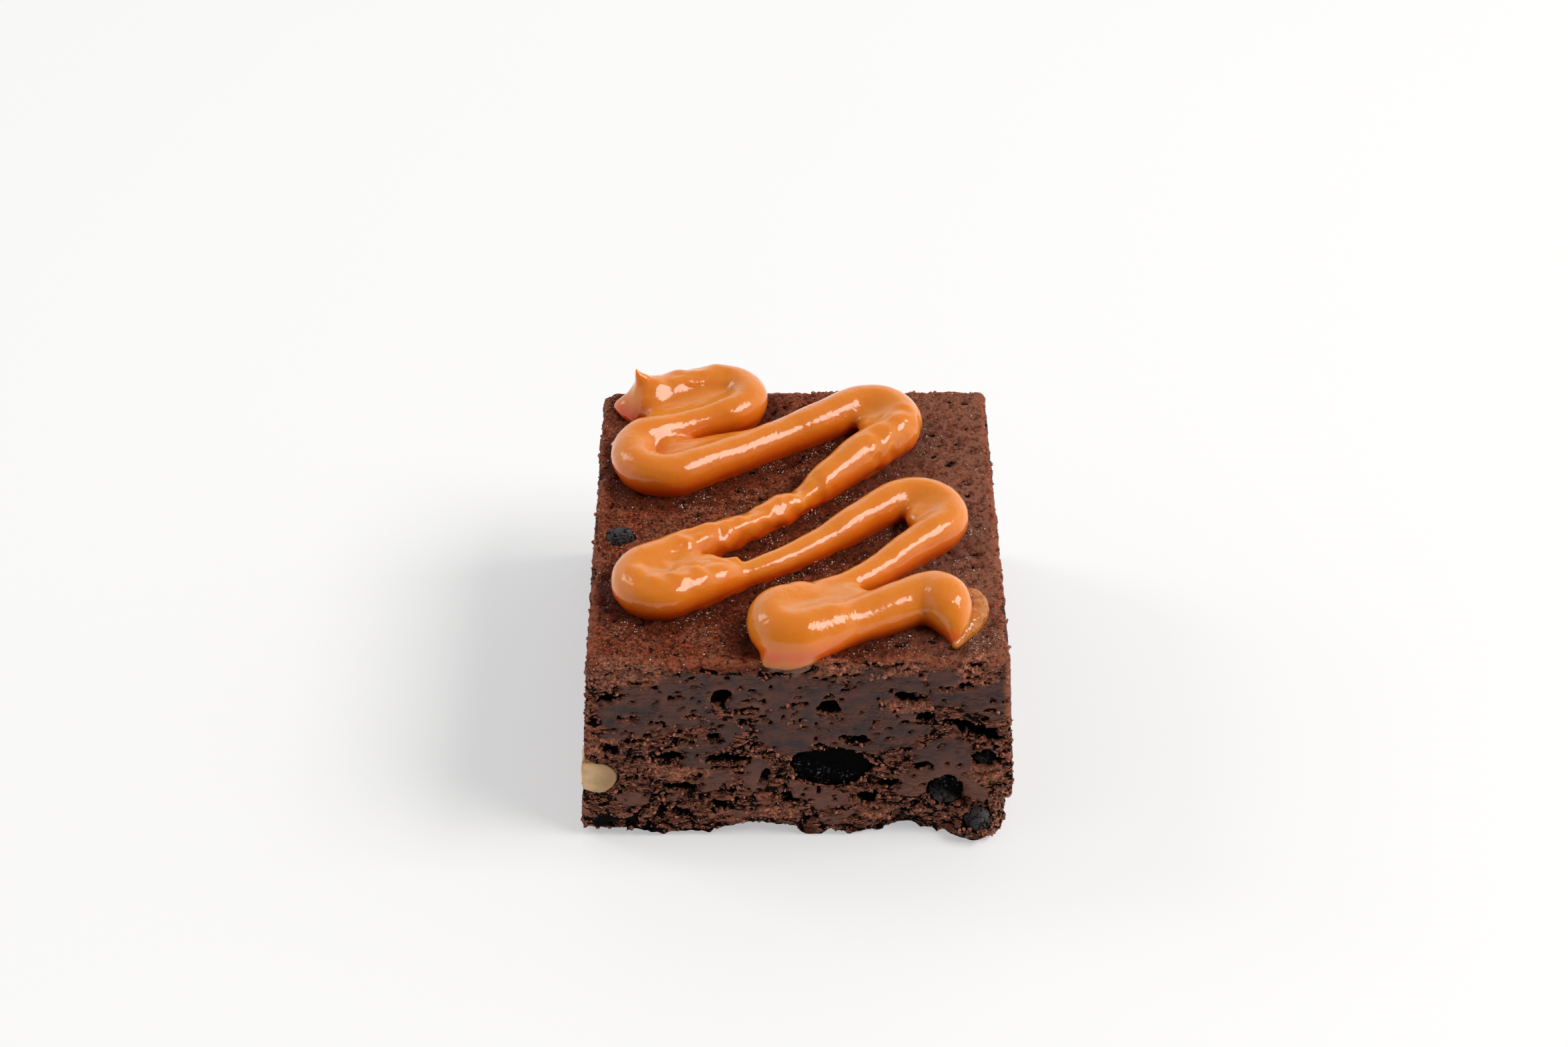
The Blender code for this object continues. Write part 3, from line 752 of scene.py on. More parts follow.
class Finish:
    """One material's nodes. Each call adds a node and gives back its output."""

    def __init__(self, name):
        self.material = bpy.data.materials.new(name)
        self.material.use_nodes = True
        self.tree = self.material.node_tree
        self.shader = self.tree.nodes["Principled BSDF"]
        self.place = self.add("ShaderNodeTexCoord", "Object", {})

    def put(self, socket, value):
        if isinstance(value, Field):
            self.tree.links.new(value.socket, socket)
        elif socket.type == "RGBA" and len(value) == 3:
            socket.default_value = (*value, 1.0)
        else:
            socket.default_value = value

    def add(self, kind, output, inputs, **settings):
        node = self.tree.nodes.new(kind)
        for key, value in settings.items():
            setattr(node, key, value)
        for key, value in inputs.items():
            self.put(node.inputs[key], value)
        return Field(self, node.outputs[output])

    def set(self, **inputs):
        """Give the shader's sockets their values: subsurface_weight stands for Subsurface Weight."""
        sockets = {socket.name.lower().replace(" ", "_"): socket for socket in self.shader.inputs}
        for key, value in inputs.items():
            self.put(sockets[key], value)

    def moved(self, upward):
        """The place of the point this far above."""
        return self.add("ShaderNodeVectorMath", "Vector", {0: self.place, 1: (0.0, 0.0, upward)})

    def along(self, axis):
        """The point's place along an axis, in metres."""
        return self.add("ShaderNodeSeparateXYZ", axis, {"Vector": self.place})

    def attribute(self, name):
        return self.add("ShaderNodeAttribute", "Fac", {}, attribute_name=name)

    def stretched(self, stretch, place=None):
        place = place or self.place
        if stretch == EVEN:
            return place
        return self.add("ShaderNodeMapping", "Vector", {"Vector": place, "Scale": stretch})

    def noise(self, size, detail=2.0, stretch=EVEN, rough=0.5, place=None):
        vector = self.stretched(stretch, place)
        inputs = {"Vector": vector, "Scale": 1.0 / size, "Detail": detail, "Roughness": rough}
        return self.add("ShaderNodeTexNoise", "Fac", inputs)

    def red(self, colour):
        """The red part of a random colour, as a random shade."""
        return self.add("ShaderNodeSeparateColor", "Red", {"Color": colour})

    def cells(self, size, stretch=EVEN):
        """A random shade for each grain, and how far a point is from its grain's middle."""
        inputs = {"Vector": self.stretched(stretch), "Scale": 1.0 / size}
        distance = self.add("ShaderNodeTexVoronoi", "Distance", inputs)
        return self.red(Field(self, distance.socket.node.outputs["Color"])), distance

    def flakes(self, size, stretch, jag):
        """Jagged flakes: a random shade for each, and how far a point is from its flake's edge."""
        vector = self.stretched(stretch)
        inputs = {"Vector": vector, "Scale": 2.5 / size, "Detail": 4.0, "Roughness": 0.65}
        shift = self.add("ShaderNodeTexNoise", "Color", inputs)
        inputs = {0: shift, 1: (jag * size, jag * size, jag * size), 2: vector}
        vector = self.add("ShaderNodeVectorMath", "Vector", inputs, operation="MULTIPLY_ADD")
        inputs = {"Vector": vector, "Scale": 1.0 / size}
        shade = self.red(self.add("ShaderNodeTexVoronoi", "Color", inputs))
        return shade, self.add("ShaderNodeTexVoronoi", "Distance", inputs, feature="DISTANCE_TO_EDGE")

    def math(self, operation, first, second=0.0, clamp=False):
        inputs = {0: first, 1: second}
        return self.add("ShaderNodeMath", "Value", inputs, operation=operation, use_clamp=clamp)

    def highest(self, first, *others):
        for other in others:
            first = self.math("MAXIMUM", first, other)
        return first

    def layered(self, colour, *layers):
        """A colour with others over it. Each layer is where it shows, 0 to 1, and its colour."""
        for share, over in layers:
            colour = self.add("ShaderNodeMix", 2, {0: share, 6: colour, 7: over}, data_type="RGBA")
        return colour

    def bump(self, height, distance):
        return self.add("ShaderNodeBump", "Normal", {"Height": height, "Distance": distance})


def crumb_finish(look):
    """Torn crumb, flush smears, reddish lips with a painted highlight, painted shade in the holes and a
    crust on top.
    """
    finish = Finish("brownie_crumb")
    names = ("crust", "smear", "deep", "rubble", "film", "wet")
    crust, smear, deep, rubble, film, wet = (finish.attribute(name) for name in names)
    jag = finish.noise(0.60 * MM, 5.0, (1.0, 1.0, 1.6), 0.72)
    fine = finish.noise(0.26 * MM, 3.0, (1.0, 1.0, 1.3))
    middling = finish.noise(0.85 * MM, 3.0, (1.0, 1.0, 1.9), 0.58)
    mottle = finish.noise(2.2 * MM, 4.0, (1.0, 1.0, 1.8))
    grit = finish.noise(0.34 * MM, 5.0, rough=0.68)
    patch = finish.noise(3.4 * MM)
    drift = finish.noise(1.5 * MM, 3.0)
    shade, edge = finish.cells(0.30 * MM, (1.0, 1.0, 1.25))
    flake, border = finish.flakes(2.1 * MM, (1.0, 1.0, 2.3), 0.9)
    wander = jag.between(0.25, 0.75, -0.42, 0.42)
    crust = (crust + wander).between(0.30, 0.70)
    side = finish.math("SUBTRACT", 1.0, crust, clamp=True)
    smear = (smear + flake.between(0.0, 1.0, -0.24, 0.24)).between(0.26, 0.62)
    seams = patch.between(0.42, 0.54) * smear.between(0.2, 0.9, 1.0, 0.15)
    wobble = (jag - 0.5) * 0.16 + (fine - 0.5) * 0.06 + smear.between(0.0, 1.0, 0.022, -0.085)

    def torn_at(place):
        """Small rips and thin cracks, 1 where they are open, at a place near the point."""
        rips = finish.noise(1.8 * MM, 5.0, (1.0, 1.0, 2.5), 0.64, place) + wobble
        seam = abs(finish.noise(2.7 * MM, 5.0, (1.0, 1.0, 4.0), 0.66, place) - 0.5)
        return finish.highest(rips.between(0.604, 0.618), seam.between(0.010, 0.022, 1.0, 0.0) * seams)

    # Painted shade: nearly black in the rips, cracks and gaps between flakes on the sides, and in the holes
    torn = torn_at(finish.place)
    open_part = drift.between(0.43, 0.50) * smear.between(0.2, 0.8, 1.0, 0.0)
    rift = border.between(0.085, 0.12, 1.0, 0.0) * open_part
    hole_shade = deep + wander
    painted_shade = finish.highest(torn, rift) * side * rubble.between(0.0, 1.0, 1.0, 0.4)
    painted_shade = finish.highest(painted_shade, hole_shade.between(0.36, 0.48))

    # Painted highlight on the lips just below and above each rip, where light from above catches them;
    # reddish lips of holes and of gaps, and single bright crumbs
    below = finish.math("SUBTRACT", torn_at(finish.moved(0.20 * MM)), torn, clamp=True)
    above = finish.math("SUBTRACT", torn_at(finish.moved(-0.12 * MM)), torn, clamp=True)
    hole_lip = hole_shade.between(0.06, 0.24) * deep.between(0.04, 0.16)
    rift_lip = border.between(0.14, 0.22, 0.7, 0.0) * open_part
    lip = finish.highest(below, above * 0.6, hole_lip, rift_lip) * fine.between(0.42, 0.58, 0.15, 1.0)
    speck = shade.between(0.70, 0.88) * edge.between(0.50, 0.36) * drift.between(0.50, 0.63, 0.03, 1.0)
    lip = finish.highest(lip, speck * smear.between(0.1, 0.8, 0.85, 0.03)) * side

    # Colours of the torn crumb, of the smeared crumb and of the crust
    # Painted shade: the torn crumb darker where its bump sinks; the same colour also tints some grains at
    # random
    crumb_shade_and_dark_grains = shaded(look.crumb, 0.40)
    flaked = finish.layered(shaded(look.crumb, 0.72), (flake.between(0.1, 0.9), shaded(look.crumb, 1.25)))
    crumb = finish.layered(
        crumb_shade_and_dark_grains,
        (middling.between(0.40, 0.54), flaked),
        (shade.between(0.0, 0.30, 0.25, 0.0), crumb_shade_and_dark_grains),
    )
    low = finish.along("Z").between(6.0 * MM, 13.0 * MM, 0.85, 0.0)
    flush = finish.layered(
        look.smear,
        (mottle.between(0.34, 0.66), look.dusk),
        (fine.between(0.56, 0.70, 0.0, 0.2), shaded(look.smear, 1.7)),
        # Painted shade: nearly black in the low pits of the smear's grit
        (grit.between(0.30, 0.38, 0.35, 0.0), look.hollow),
        (finish.highest(finish.attribute("halo"), low), look.halo),
    )
    dry = mottle.between(0.30, 0.60) * wet.between(0.0, 1.0, 1.0, 0.15)
    # Painted sheen: the crust paler towards the right, where the right softbox lights it at a glancing
    # angle
    sheen = finish.along("X").between(4.0 * MM, 20.0 * MM, 0.0, 0.62) * jag.between(0.40, 0.54, 0.15, 1.0)
    top = finish.layered(
        look.crust,
        (dry, [part * share for part, share in zip(look.crust, DRY_CRUST)]),
        (drift.between(0.50, 0.70, 0.0, 0.5), shaded(look.crust, 0.55)),
        (jag.between(0.40, 0.53, 0.78, 0.0), shaded(look.crust, 0.30)),
        (middling.between(0.37, 0.49, 0.78, 0.0), shaded(look.crust, 0.35)),
        # Painted highlight: the crust brighter where its grit stands highest in the bump
        (grit.between(0.53, 0.65, 0.0, 0.75), shaded(look.crust, 2.8)),
        (speck * 0.6, shaded(look.crust, 2.6)),
        (shade.between(0.0, 0.25, 0.6, 0.0), shaded(look.crust, 0.35)),
        (wet * 0.72, shaded(look.crust, 0.26)),
        # Painted shade: the crust nearly black in the low pits of its grit
        (grit.between(0.38, 0.46, 1.0, 0.0), shaded(look.crust, 0.08)),
        (sheen, look.pale_crust),
    )
    colour = finish.layered(
        crumb,
        (smear, flush),
        (crust, top),
        # Worn edges, redder partly from real wear and partly as a painted rim light
        (finish.attribute("worn") * jag.between(0.40, 0.52, 0.0, 0.75), look.edge),
        (rubble * jag.between(0.42, 0.55, 0.0, 0.9), look.lip),
        # Reddish lips, with a painted highlight just below and above each rip
        (lip, look.lip),
        (film * 0.8, look.film),
        # Painted shade in rips, cracks and holes
        (painted_shade, look.hollow),
    )

    rough = 0.74 - smear * 0.18 - crust * 0.14 - wet * 0.30 - film * 0.5
    rough = finish.math("ADD", rough, mottle.between(0.3, 0.7, -0.06, 0.06), clamp=True)
    dull = finish.math("SUBTRACT", 1.0 - smear * 0.85, film * 0.6, clamp=True)
    grainy = fine * 0.35 + jag * 0.55 + middling + edge * -0.35
    heights = grit * (smear.between(0.0, 1.0, 0.32, 0.15) + crust * 1.5) + grainy * dull
    heights = heights + lip * 0.7 + flake * side * 0.5 - painted_shade * 1.6
    finish.set(base_color=colour, roughness=rough, normal=finish.bump(heights, 0.20 * MM))
    finish.set(specular_ior_level=0.07)
    return finish.material


def caramel_finish(look):
    """Glossy caramel, paler high up as painted light and reflection from above, deeper in colour low near
    the crust as painted shade, and golden where the strand is thin.
    """
    finish = Finish("caramel")
    height = finish.along("Z")
    pale = finish.attribute("pale")
    cloud = finish.noise(3.0 * MM)
    golden = finish.attribute("thin") * cloud.between(0.3, 0.6, 0.5, 1.0)
    colour = finish.layered(
        look.low,
        # Painted light and shade: the caramel paler high on the strand and deeper in colour low down near
        # the crust
        (height.between(BLOCK_HEIGHT + 0.3 * MM, BLOCK_HEIGHT + 3.2 * MM), look.body),
        (golden * height.between(BLOCK_HEIGHT + 0.4 * MM, BLOCK_HEIGHT + 2.0 * MM), look.thin),
        (pale, look.rim),
        (pale * height.between(BLOCK_HEIGHT - 1.1 * MM, BLOCK_HEIGHT + 0.2 * MM, 1.0, 0.0), look.over),
    )
    waves = finish.noise(1.3 * MM)
    ragged = finish.noise(0.30 * MM) * cloud.between(0.40, 0.55, 0.05, 0.22)
    surface = finish.bump(waves + ragged, 0.10 * MM)
    finish.set(base_color=colour, roughness=0.30, ior=1.49, specular_ior_level=0.15, normal=surface)
    finish.set(coat_weight=0.90, coat_roughness=0.02, coat_ior=1.5, coat_normal=surface)
    finish.set(subsurface_weight=0.9, subsurface_radius=(1.0, 0.38, 0.12), subsurface_scale=1.4 * MM)
    return finish.material


def lobe_finish(look):
    """Clear amber caramel, where it is thin enough to see through."""
    finish = Finish("caramel_clear")
    cloud = finish.noise(1.2 * MM)
    waves = finish.noise(0.9 * MM, 1.0)
    colour = finish.layered(look.lobe, (cloud.between(0.35, 0.65), shaded(look.lobe, 0.85)))
    finish.set(base_color=colour, normal=finish.bump(waves, 0.30 * MM))
    finish.set(roughness=0.03, ior=1.49, specular_ior_level=0.6, transmission_weight=0.35)
    return finish.material


def chip_finish(look):
    """Near-black cut chocolate with fine ridges, dusted places, painted light on the lower left of chips in
    a dish, and a few painted glints.
    """
    finish = Finish("chocolate")
    ridges = finish.noise(0.42 * MM, 2.0, (0.5, 0.5, 2.6))
    shade, edge = finish.cells(0.24 * MM)
    grit = finish.noise(0.30 * MM, 4.0, rough=0.7)
    patch = finish.noise(1.5 * MM, 3.0)
    crack = abs(finish.noise(1.1 * MM, 4.0) - 0.5)
    dust = finish.math("MULTIPLY", finish.attribute("dust"), patch.between(0.3, 0.7, 0.6, 1.3), clamp=True)
    dust = dust * crack.between(0.010, 0.035)
    glint = shade.between(0.72, 0.86) * patch.between(0.46, 0.56) * finish.attribute("glint")
    glint = glint * grit.between(0.45, 0.60)
    finish.set(base_color=finish.layered(look.chocolate, (dust, look.dust), (glint, look.chip_glint)))
    finish.set(roughness=glint.between(0.0, 1.0, 0.55, 0.3), specular_ior_level=0.02)
    finish.set(normal=finish.bump(ridges + edge + grit * 0.8, 0.12 * MM))
    return finish.material


def nut_finish(look):
    """Cream nut flesh, faintly veined, with brown stains and darker towards the right."""
    finish = Finish("nut")
    vein = finish.noise(1.6 * MM, 4.0, (1.0, 1.0, 2.0))
    stain = finish.noise(0.7 * MM, 3.0)
    colour = finish.layered(
        shaded(look.nut, 0.80),
        (vein.between(0.35, 0.65), look.nut),
        # Darker towards the right
        (finish.along("X").between(-22.8 * MM, -19.2 * MM), look.nut_brown),
        (stain.between(0.58, 0.72, 0.0, 0.5), look.nut_brown),
    )
    finish.set(base_color=colour, roughness=0.52, subsurface_weight=0.2, subsurface_scale=0.8 * MM)
    finish.set(normal=finish.bump(stain, 0.08 * MM))
    return finish.material


def loose_crumb_finish(look):
    """Loose crumbs, each of its own shade."""
    finish = Finish("loose_crumb")
    fine = finish.noise(0.16 * MM)
    colour = finish.layered(
        look.crumb,
        (finish.attribute("tint").between(0.45, 1.0), look.red_crumb),
        (fine.between(0.4, 0.65, 0.0, 0.5), shaded(look.crumb, 0.4)),
    )
    finish.set(base_color=colour, roughness=0.7, normal=finish.bump(fine, 0.05 * MM))
    return finish.material


def glint_finish(look):
    """Pale moist grains, their pale colour a painted glint; glossy, so that they catch the light as well.
    """
    finish = Finish("pale_grain")
    colour = finish.layered(
        shaded(look.glint, 0.35),
        (finish.attribute("tint"), look.glint),
        (finish.noise(0.2 * MM, 1.0).between(0.4, 0.6, 0.0, 0.3), look.glint),
    )
    finish.set(base_color=colour, roughness=0.25)
    return finish.material


def floor_finish(look):
    finish = Finish("floor")
    faint = finish.noise(120.0 * MM)
    colour = finish.layered(shaded(look.floor, 0.995), (faint.between(0.4, 0.6), look.floor))
    finish.set(base_color=colour, roughness=0.9, specular_ior_level=0.1)
    finish.set(emission_color=look.floor, emission_strength=look.glow / look.floor[0])
    return finish.material


# Crumb block

def side_matrix(side):
    """From a side's own frame, X along the face and -Y out of it, to the block's."""
    return Matrix.Rotation(math.radians(SIDE_TURNS[side]), 4, "Z")


def side_distance(side, height):
    """How far a side's plain face is from the middle at a height."""
    lower = 1.0 - height / BLOCK_HEIGHT
    if side in ("front", "back"):
        return BLOCK_LENGTH / 2 + END_FLARE * lower
    return BLOCK_WIDTH / 2 + SIDE_FLARE * lower


def add_lump(place, half_sizes, turn, seed, unevenness):
    """A rough ellipsoid as an object: a ball, its points moved in and out by noise."""
    bpy.ops.mesh.primitive_ico_sphere_add(subdivisions=BALL_STEPS, radius=1.0)
    lump = bpy.context.object
    points = points_of(lump)
    swell = 1.0 + unevenness * noise_at(points, LUMP_WAVE, EVEN, seed)
    put_points(lump, points * swell[:, None] * np.array(half_sizes))
    lump.data.transform(Matrix.Translation(place) @ turn)
    return lump


def lump_on_side(side, along, height, inward, half_sizes, tilt, seed, unevenness):
    where = side_matrix(side) @ Vector((along, inward - side_distance(side, height), height))
    turn = side_matrix(side) @ Matrix.Rotation(math.radians(tilt), 4, "Y")
    return add_lump(where, half_sizes, turn, seed, unevenness)


def tear_on_side(side, along, height, width, opening, tilt):
    shallow, deep = TEAR_DEPTH
    depth = min(deep, max(shallow, TEAR_DEPTH_SHARE * (width + opening)))
    seed = along / MM + height / MM
    half_sizes = (width / 2, depth, opening / 2)
    return lump_on_side(side, along, height, 0.0, half_sizes, -tilt, seed, TEAR_UNEVEN)


def front_tears():
    lumps = [tear_on_side("front", *(part * MM for part in tear[:4]), tear[4]) for tear in FRONT_TEARS]
    for along, width, opening in FRONT_HOLLOWS:
        lumps.append(tear_on_side("front", along * MM, 0.0, width * MM, opening * MM, 0))
    return lumps


def taken_spots(side):
    """Where a side already holds a chip: distance along, height, half width."""
    chips = [spec for spec in CHIPS.values() if spec[0] == side]
    return [(along * MM, height * MM, width * MM / 2) for _, along, height, width, _, _ in chips]


def hidden_tears():
    """Tears like the front's on the three other sides, strewn with a least spacing as in the model."""
    strewn = random.Random(SEED)
    lumps = []
    for side in ("right", "back", "left"):
        half = (BLOCK_WIDTH if side == "back" else BLOCK_LENGTH) / 2 - SIDE_MARGIN
        spots = taken_spots(side)
        wanted = len(spots) + TEARS_PER_HIDDEN_SIDE
        for _ in range(PLACES_TRIED):
            if len(spots) == wanted:
                break
            along = strewn.uniform(-half, half)
            height = strewn.uniform(HEIGHT_MARGIN, BLOCK_HEIGHT - HEIGHT_MARGIN)
            width = strewn.uniform(*HIDDEN_TEAR["width"]) * MM
            opening = strewn.uniform(*HIDDEN_TEAR["opening"]) * MM
            tilt = strewn.uniform(*HIDDEN_TEAR["tilt"])
            gaps = [math.hypot(along - a, (height - h) * SPACING_UPWARD) - w for a, h, w in spots]
            if min(gaps) < TEAR_SPACING:
                continue
            spots.append((along, height, 0.0))
            lumps.append(tear_on_side(side, along, height, width, opening, tilt))
        for number in range(HOLLOWS_PER_HIDDEN_SIDE):
            end = half * (2 * number / max(1, HOLLOWS_PER_HIDDEN_SIDE - 1) - 1)
            along = end * strewn.uniform(*HIDDEN_HOLLOW["away"])
            width = strewn.uniform(*HIDDEN_HOLLOW["width"]) * MM
            opening = strewn.uniform(*HIDDEN_HOLLOW["opening"]) * MM
            lumps.append(tear_on_side(side, along, 0.0, width, opening, 0))
    return lumps


def stated_lump(centre, half_sizes, seed, unevenness):
    """A lump stated in millimetres."""
    return add_lump(Vector(centre) * MM, [half * MM for half in half_sizes], STILL, seed, unevenness)


def corner_bites():
    return [stated_lump(centre, sizes, sum(centre), BITE_UNEVEN) for centre, sizes in CORNER_BITES]


def chip_pockets():
    lumps = []
    for side, along, height, width, opening, tilt in CHIPS.values():
        depth = CHIP_DEPTH_SHARE * width * MM
        half_sizes = (width * MM / 2 + POCKET_MARGIN, depth + GAP, opening * MM / 2 + POCKET_MARGIN)
        where = (side, along * MM, height * MM, 0.25 * depth)
        lumps.append(lump_on_side(*where, half_sizes, -tilt, along + height, POCKET_UNEVEN))
    half_length = CORNER_CHIP["length"] * MM / 2
    middle = Vector(CORNER_CHIP["tip"]) * MM + Vector((0.0, half_length, 0.0))
    radius = CORNER_CHIP["radius"] * MM + POCKET_MARGIN
    lumps.append(add_lump(middle, (radius, half_length + GAP, radius), STILL, 0.0, BITE_UNEVEN))
    balls = ((top_chip_ball(), TOP_SQUARENESS, -0.05 * MM), (nut_ball(), NUT_SQUARENESS, 0.0))
    for ball, squareness, margin in balls:
        middle, half_sizes, tilt = ball
        turn = Matrix.Rotation(math.radians(tilt), 4, "Y")
        pocket = add_lump(Vector(middle), half_sizes + margin, turn, 5.0, BALL_UNEVEN)
        put_points(pocket, squared(points_of(pocket), *ball, squareness))
        lumps.append(pocket)
    return lumps


def top_chip_ball():
    """The ball of the chip in the crust: middle, half sizes and tilt."""
    radius = TOP_CHIP["width"] * MM / 2
    middle = (*(np.array(TOP_CHIP["place"]) * MM), BLOCK_HEIGHT + TOP_CHIP["stands"] * MM - radius)
    return np.array(middle), np.full(3, radius), 0.0


def nut_ball():
    """The ball that the nut is shaped from: middle, half sizes and tilt."""
    return np.array(NUT["middle"]) * MM, np.array(NUT["size"]) * MM / 2, NUT["tilt"]


def squared(points, middle, half_sizes, tilt, squareness):
    """The points of a ball moved towards the box round it."""
    turn = np.array(Matrix.Rotation(math.radians(tilt), 3, "Y"))
    unit = (points - middle) @ turn / half_sizes
    reach = np.linalg.norm(unit, axis=1)
    boxy = (np.abs(unit) ** squareness).sum(axis=1) ** (1.0 / squareness)
    swell = reach / np.maximum(boxy, 1e-6)
    return middle + (unit * swell[:, None] * half_sizes) @ turn.T


def rough_cutter(lumps, name, ragged):
    """The lumps as one cutter with ragged, flaky walls."""
    cutter = join(lumps, name)
    remesh(cutter, CUTTER_GRAIN)
    points, normals = points_of(cutter), normals_of(cutter)
    shift = waves(points, "wall") + 0.8 * waves(points, "wall_flakes")
    put_points(cutter, points + normals * (ragged * shift)[:, None])
    return cutter


def plain_block():
    """The flared block with worn edges."""
    bpy.ops.mesh.primitive_cube_add(
        size=1.0, location=(0.0, 0.0, BLOCK_HEIGHT / 2), scale=(BLOCK_WIDTH, BLOCK_LENGTH, BLOCK_HEIGHT))
    block = bpy.context.object
    block.name = "brownie_crumb"
    settle(block)
    bm = in_edit_mode(block, "VERT")
    for vert in bm.verts:
        vert.select = vert.co.z < BLOCK_HEIGHT / 2
    bm.select_flush(True)
    flare = (1.0 + 2.0 * SIDE_FLARE / BLOCK_WIDTH, 1.0 + 2.0 * END_FLARE / BLOCK_LENGTH, 1.0)
    bpy.ops.transform.resize(value=flare)
    bpy.ops.mesh.select_mode(type="EDGE")
    bm = bmesh.from_edit_mesh(block.data)
    for edge in bm.edges:
        edge.select = max(vert.co.z for vert in edge.verts) > BLOCK_HEIGHT / 2
    bpy.ops.mesh.bevel(offset=TOP_ROUND, segments=4)
    leave_edit_mode(block)
    return block


def face_gaps(points):
    """How far each point lies behind the nearer side's, the nearer end's and the top's plain face."""
    lower = 1.0 - np.clip(points[:, 2] / BLOCK_HEIGHT, 0.0, 1.0)
    across = BLOCK_WIDTH / 2 + SIDE_FLARE * lower - np.abs(points[:, 0])
    along = BLOCK_LENGTH / 2 + END_FLARE * lower - np.abs(points[:, 1])
    return np.stack((across, along, BLOCK_HEIGHT - points[:, 2]), axis=1)


def below_face(points):
    """How far each point lies behind the nearest plain face of the block, the base left out."""
    return face_gaps(points).min(axis=1)


def near_edges(points):
    """How close each point is to an edge of the block between two of its faces, 0 to 1."""
    second = np.sort(face_gaps(points), axis=1)[:, 1]
    return 1.0 - share(second, "off_edge")


def at_front(points, depth=FRONT_DEPTH):
    return points[:, 1] < -BLOCK_LENGTH / 2 + depth


def reach_on_front(points, along, height, half_width, half_height):
    """How far out each point lies in an ellipse on the front, 1 on its rim."""
    across, up = points[:, 0] / MM - along, points[:, 2] / MM - height
    return np.hypot(across / half_width, up / half_height)


def smear_cover(points, on_side):
    """Where the knife left the crumb flush and smooth, 0 to 1."""
    rise = points[:, 2] / BLOCK_HEIGHT
    cover = waves(points, "smears") + 0.34 * waves(points, "smear_rims")
    favour = 0.30 * (rise - 0.52) - 0.55 * share(rise, "high")
    favour -= 0.25 * share(-rise, "low")
    cover += favour
    on_front = at_front(points)
    for smear in FRONT_SMEARS:
        patch = 1.0 - share(reach_on_front(points, *smear), "out_of_smear")
        cover = np.maximum(cover, on_front * (0.5 * cover + 0.44 * patch))
    cover -= on_front * 0.10
    return on_side * share(cover, "smear")


def rubble_cover(points):
    """Where the front is loose reddish crumb, 0 to 1."""
    cover = np.zeros(len(points))
    ragged = 0.5 * waves(points, "rubble_rims")
    for rubble in FRONT_RUBBLE:
        reach = reach_on_front(points, *rubble) + ragged
        cover = np.maximum(cover, 1.0 - share(reach, "out_of_rubble"))
    return cover * at_front(points)


def calm_edge(points):
    """Where the crust rolls over the top edge unbroken, 0 to 1."""
    rise = points[:, 2] + 0.5 * MM * waves(points, "crust_rim")
    band = share(rise, "rolled_crust")
    broken = share(waves(points, "crust_breaks"), "crust_breaks")
    on_front = at_front(points, 1.5 * MM)
    for along, half_width in FRONT_EDGE_BREAKS:
        reach = np.abs(points[:, 0] / MM - along) / half_width
        broken = np.maximum(broken * ~on_front, on_front * (1.0 - share(reach, "out_of_break")))
    return band * (1.0 - broken)


def relief(points, normals, look):
    """How far each point sinks along its normal, and the smear, tear and crust shares there."""
    rubble = rubble_cover(points)
    calm = calm_edge(points) * (1.0 - rubble)
    on_side = (1.0 - share(np.abs(normals[:, 2]), "level")) * (1.0 - calm)
    on_top = share(normals[:, 2], "facing_up") * (points[:, 2] > BLOCK_HEIGHT - 1.6 * MM)
    on_top = np.maximum(on_top, calm * (normals[:, 2] > -0.3))
    smear = smear_cover(points, on_side) * (1.0 - rubble)
    least = 0.19 + 0.36 * smear
    tear = share(waves(points, "tears") + 0.45 * waves(points, "tear_rims") - least, "tear")
    crack = np.clip(1.0 - np.abs(waves(points, "cracks")) / 0.075, 0.0, 1.0)
    crack = crack * share(waves(points, "cracked"), "cracked")
    pock = share(waves(points, "pocks"), "pocks") * smear
    torn = on_side * np.maximum(np.maximum(tear, 0.7 * pock), 0.55 * crack * (1.0 - 0.8 * smear))
    lumps = waves(points, "lumps") + 0.7 * waves(points, "small_lumps")
    sink = on_side * (1.0 - smear) * look.crumb_depth * (0.55 + 1.4 * lumps)
    sink += on_side * smear * SMEAR_RELIEF * lumps
    sink += look.tear_depth * torn
    pits = share(waves(points, "pits"), "pits")
    swells = waves(points, "swells")
    sink += on_top * (PIT_DEPTH * pits + SWELL_HEIGHT * swells + CRUST_RELIEF * lumps)
    return sink, smear, torn, on_top


def foot_lift(points):
    """How far the rim of the foot rises off the table."""
    rim = 1.0 - share(face_gaps(points)[:, :2].min(axis=1), "inside_foot")
    low = 1.0 - share(points[:, 2], "above_foot")
    ragged = 0.5 + 1.1 * waves(points, "foot") + 0.7 * waves(points, "foot_rim")
    return rim * low * FOOT_RISE * np.clip(ragged, 0.0, 1.4)


def film_cover(points):
    """Where a thin film of caramel ran over the front edge, 0 to 1."""
    middle, half_sizes = (np.array(part) * MM for part in FILM)
    reach = np.linalg.norm((points - middle) / half_sizes, axis=1) + 0.35 * waves(points, "film_rim")
    return 1.0 - share(reach, "out_of_film")


def darkness(points, hollow, valley):
    """Painted shade: how much of it the crumb gets for lying in a tear, a valley or a shaded place, 0 to 1.
    """
    deep = np.maximum(share(hollow, "hollow"), 0.9 * share(valley, "valley"))
    deep *= 1.0 - 0.85 * near_place(points, *OPEN_CORNER)
    under = 1.0 - share(points[:, 2], "above_table")
    deep = np.minimum(deep, 1.0 - (1.0 - FOOT_SHADE) * under)
    ragged = 0.9 * waves(points, "shade_rims")
    for place, half_sizes in SHADED:
        reach = np.linalg.norm((points / MM - place) / half_sizes, axis=1) + ragged
        deep = np.maximum(deep, 0.8 * (1.0 - share(reach, "out_of_shade")))
    return np.clip(deep, 0.0, 1.0)


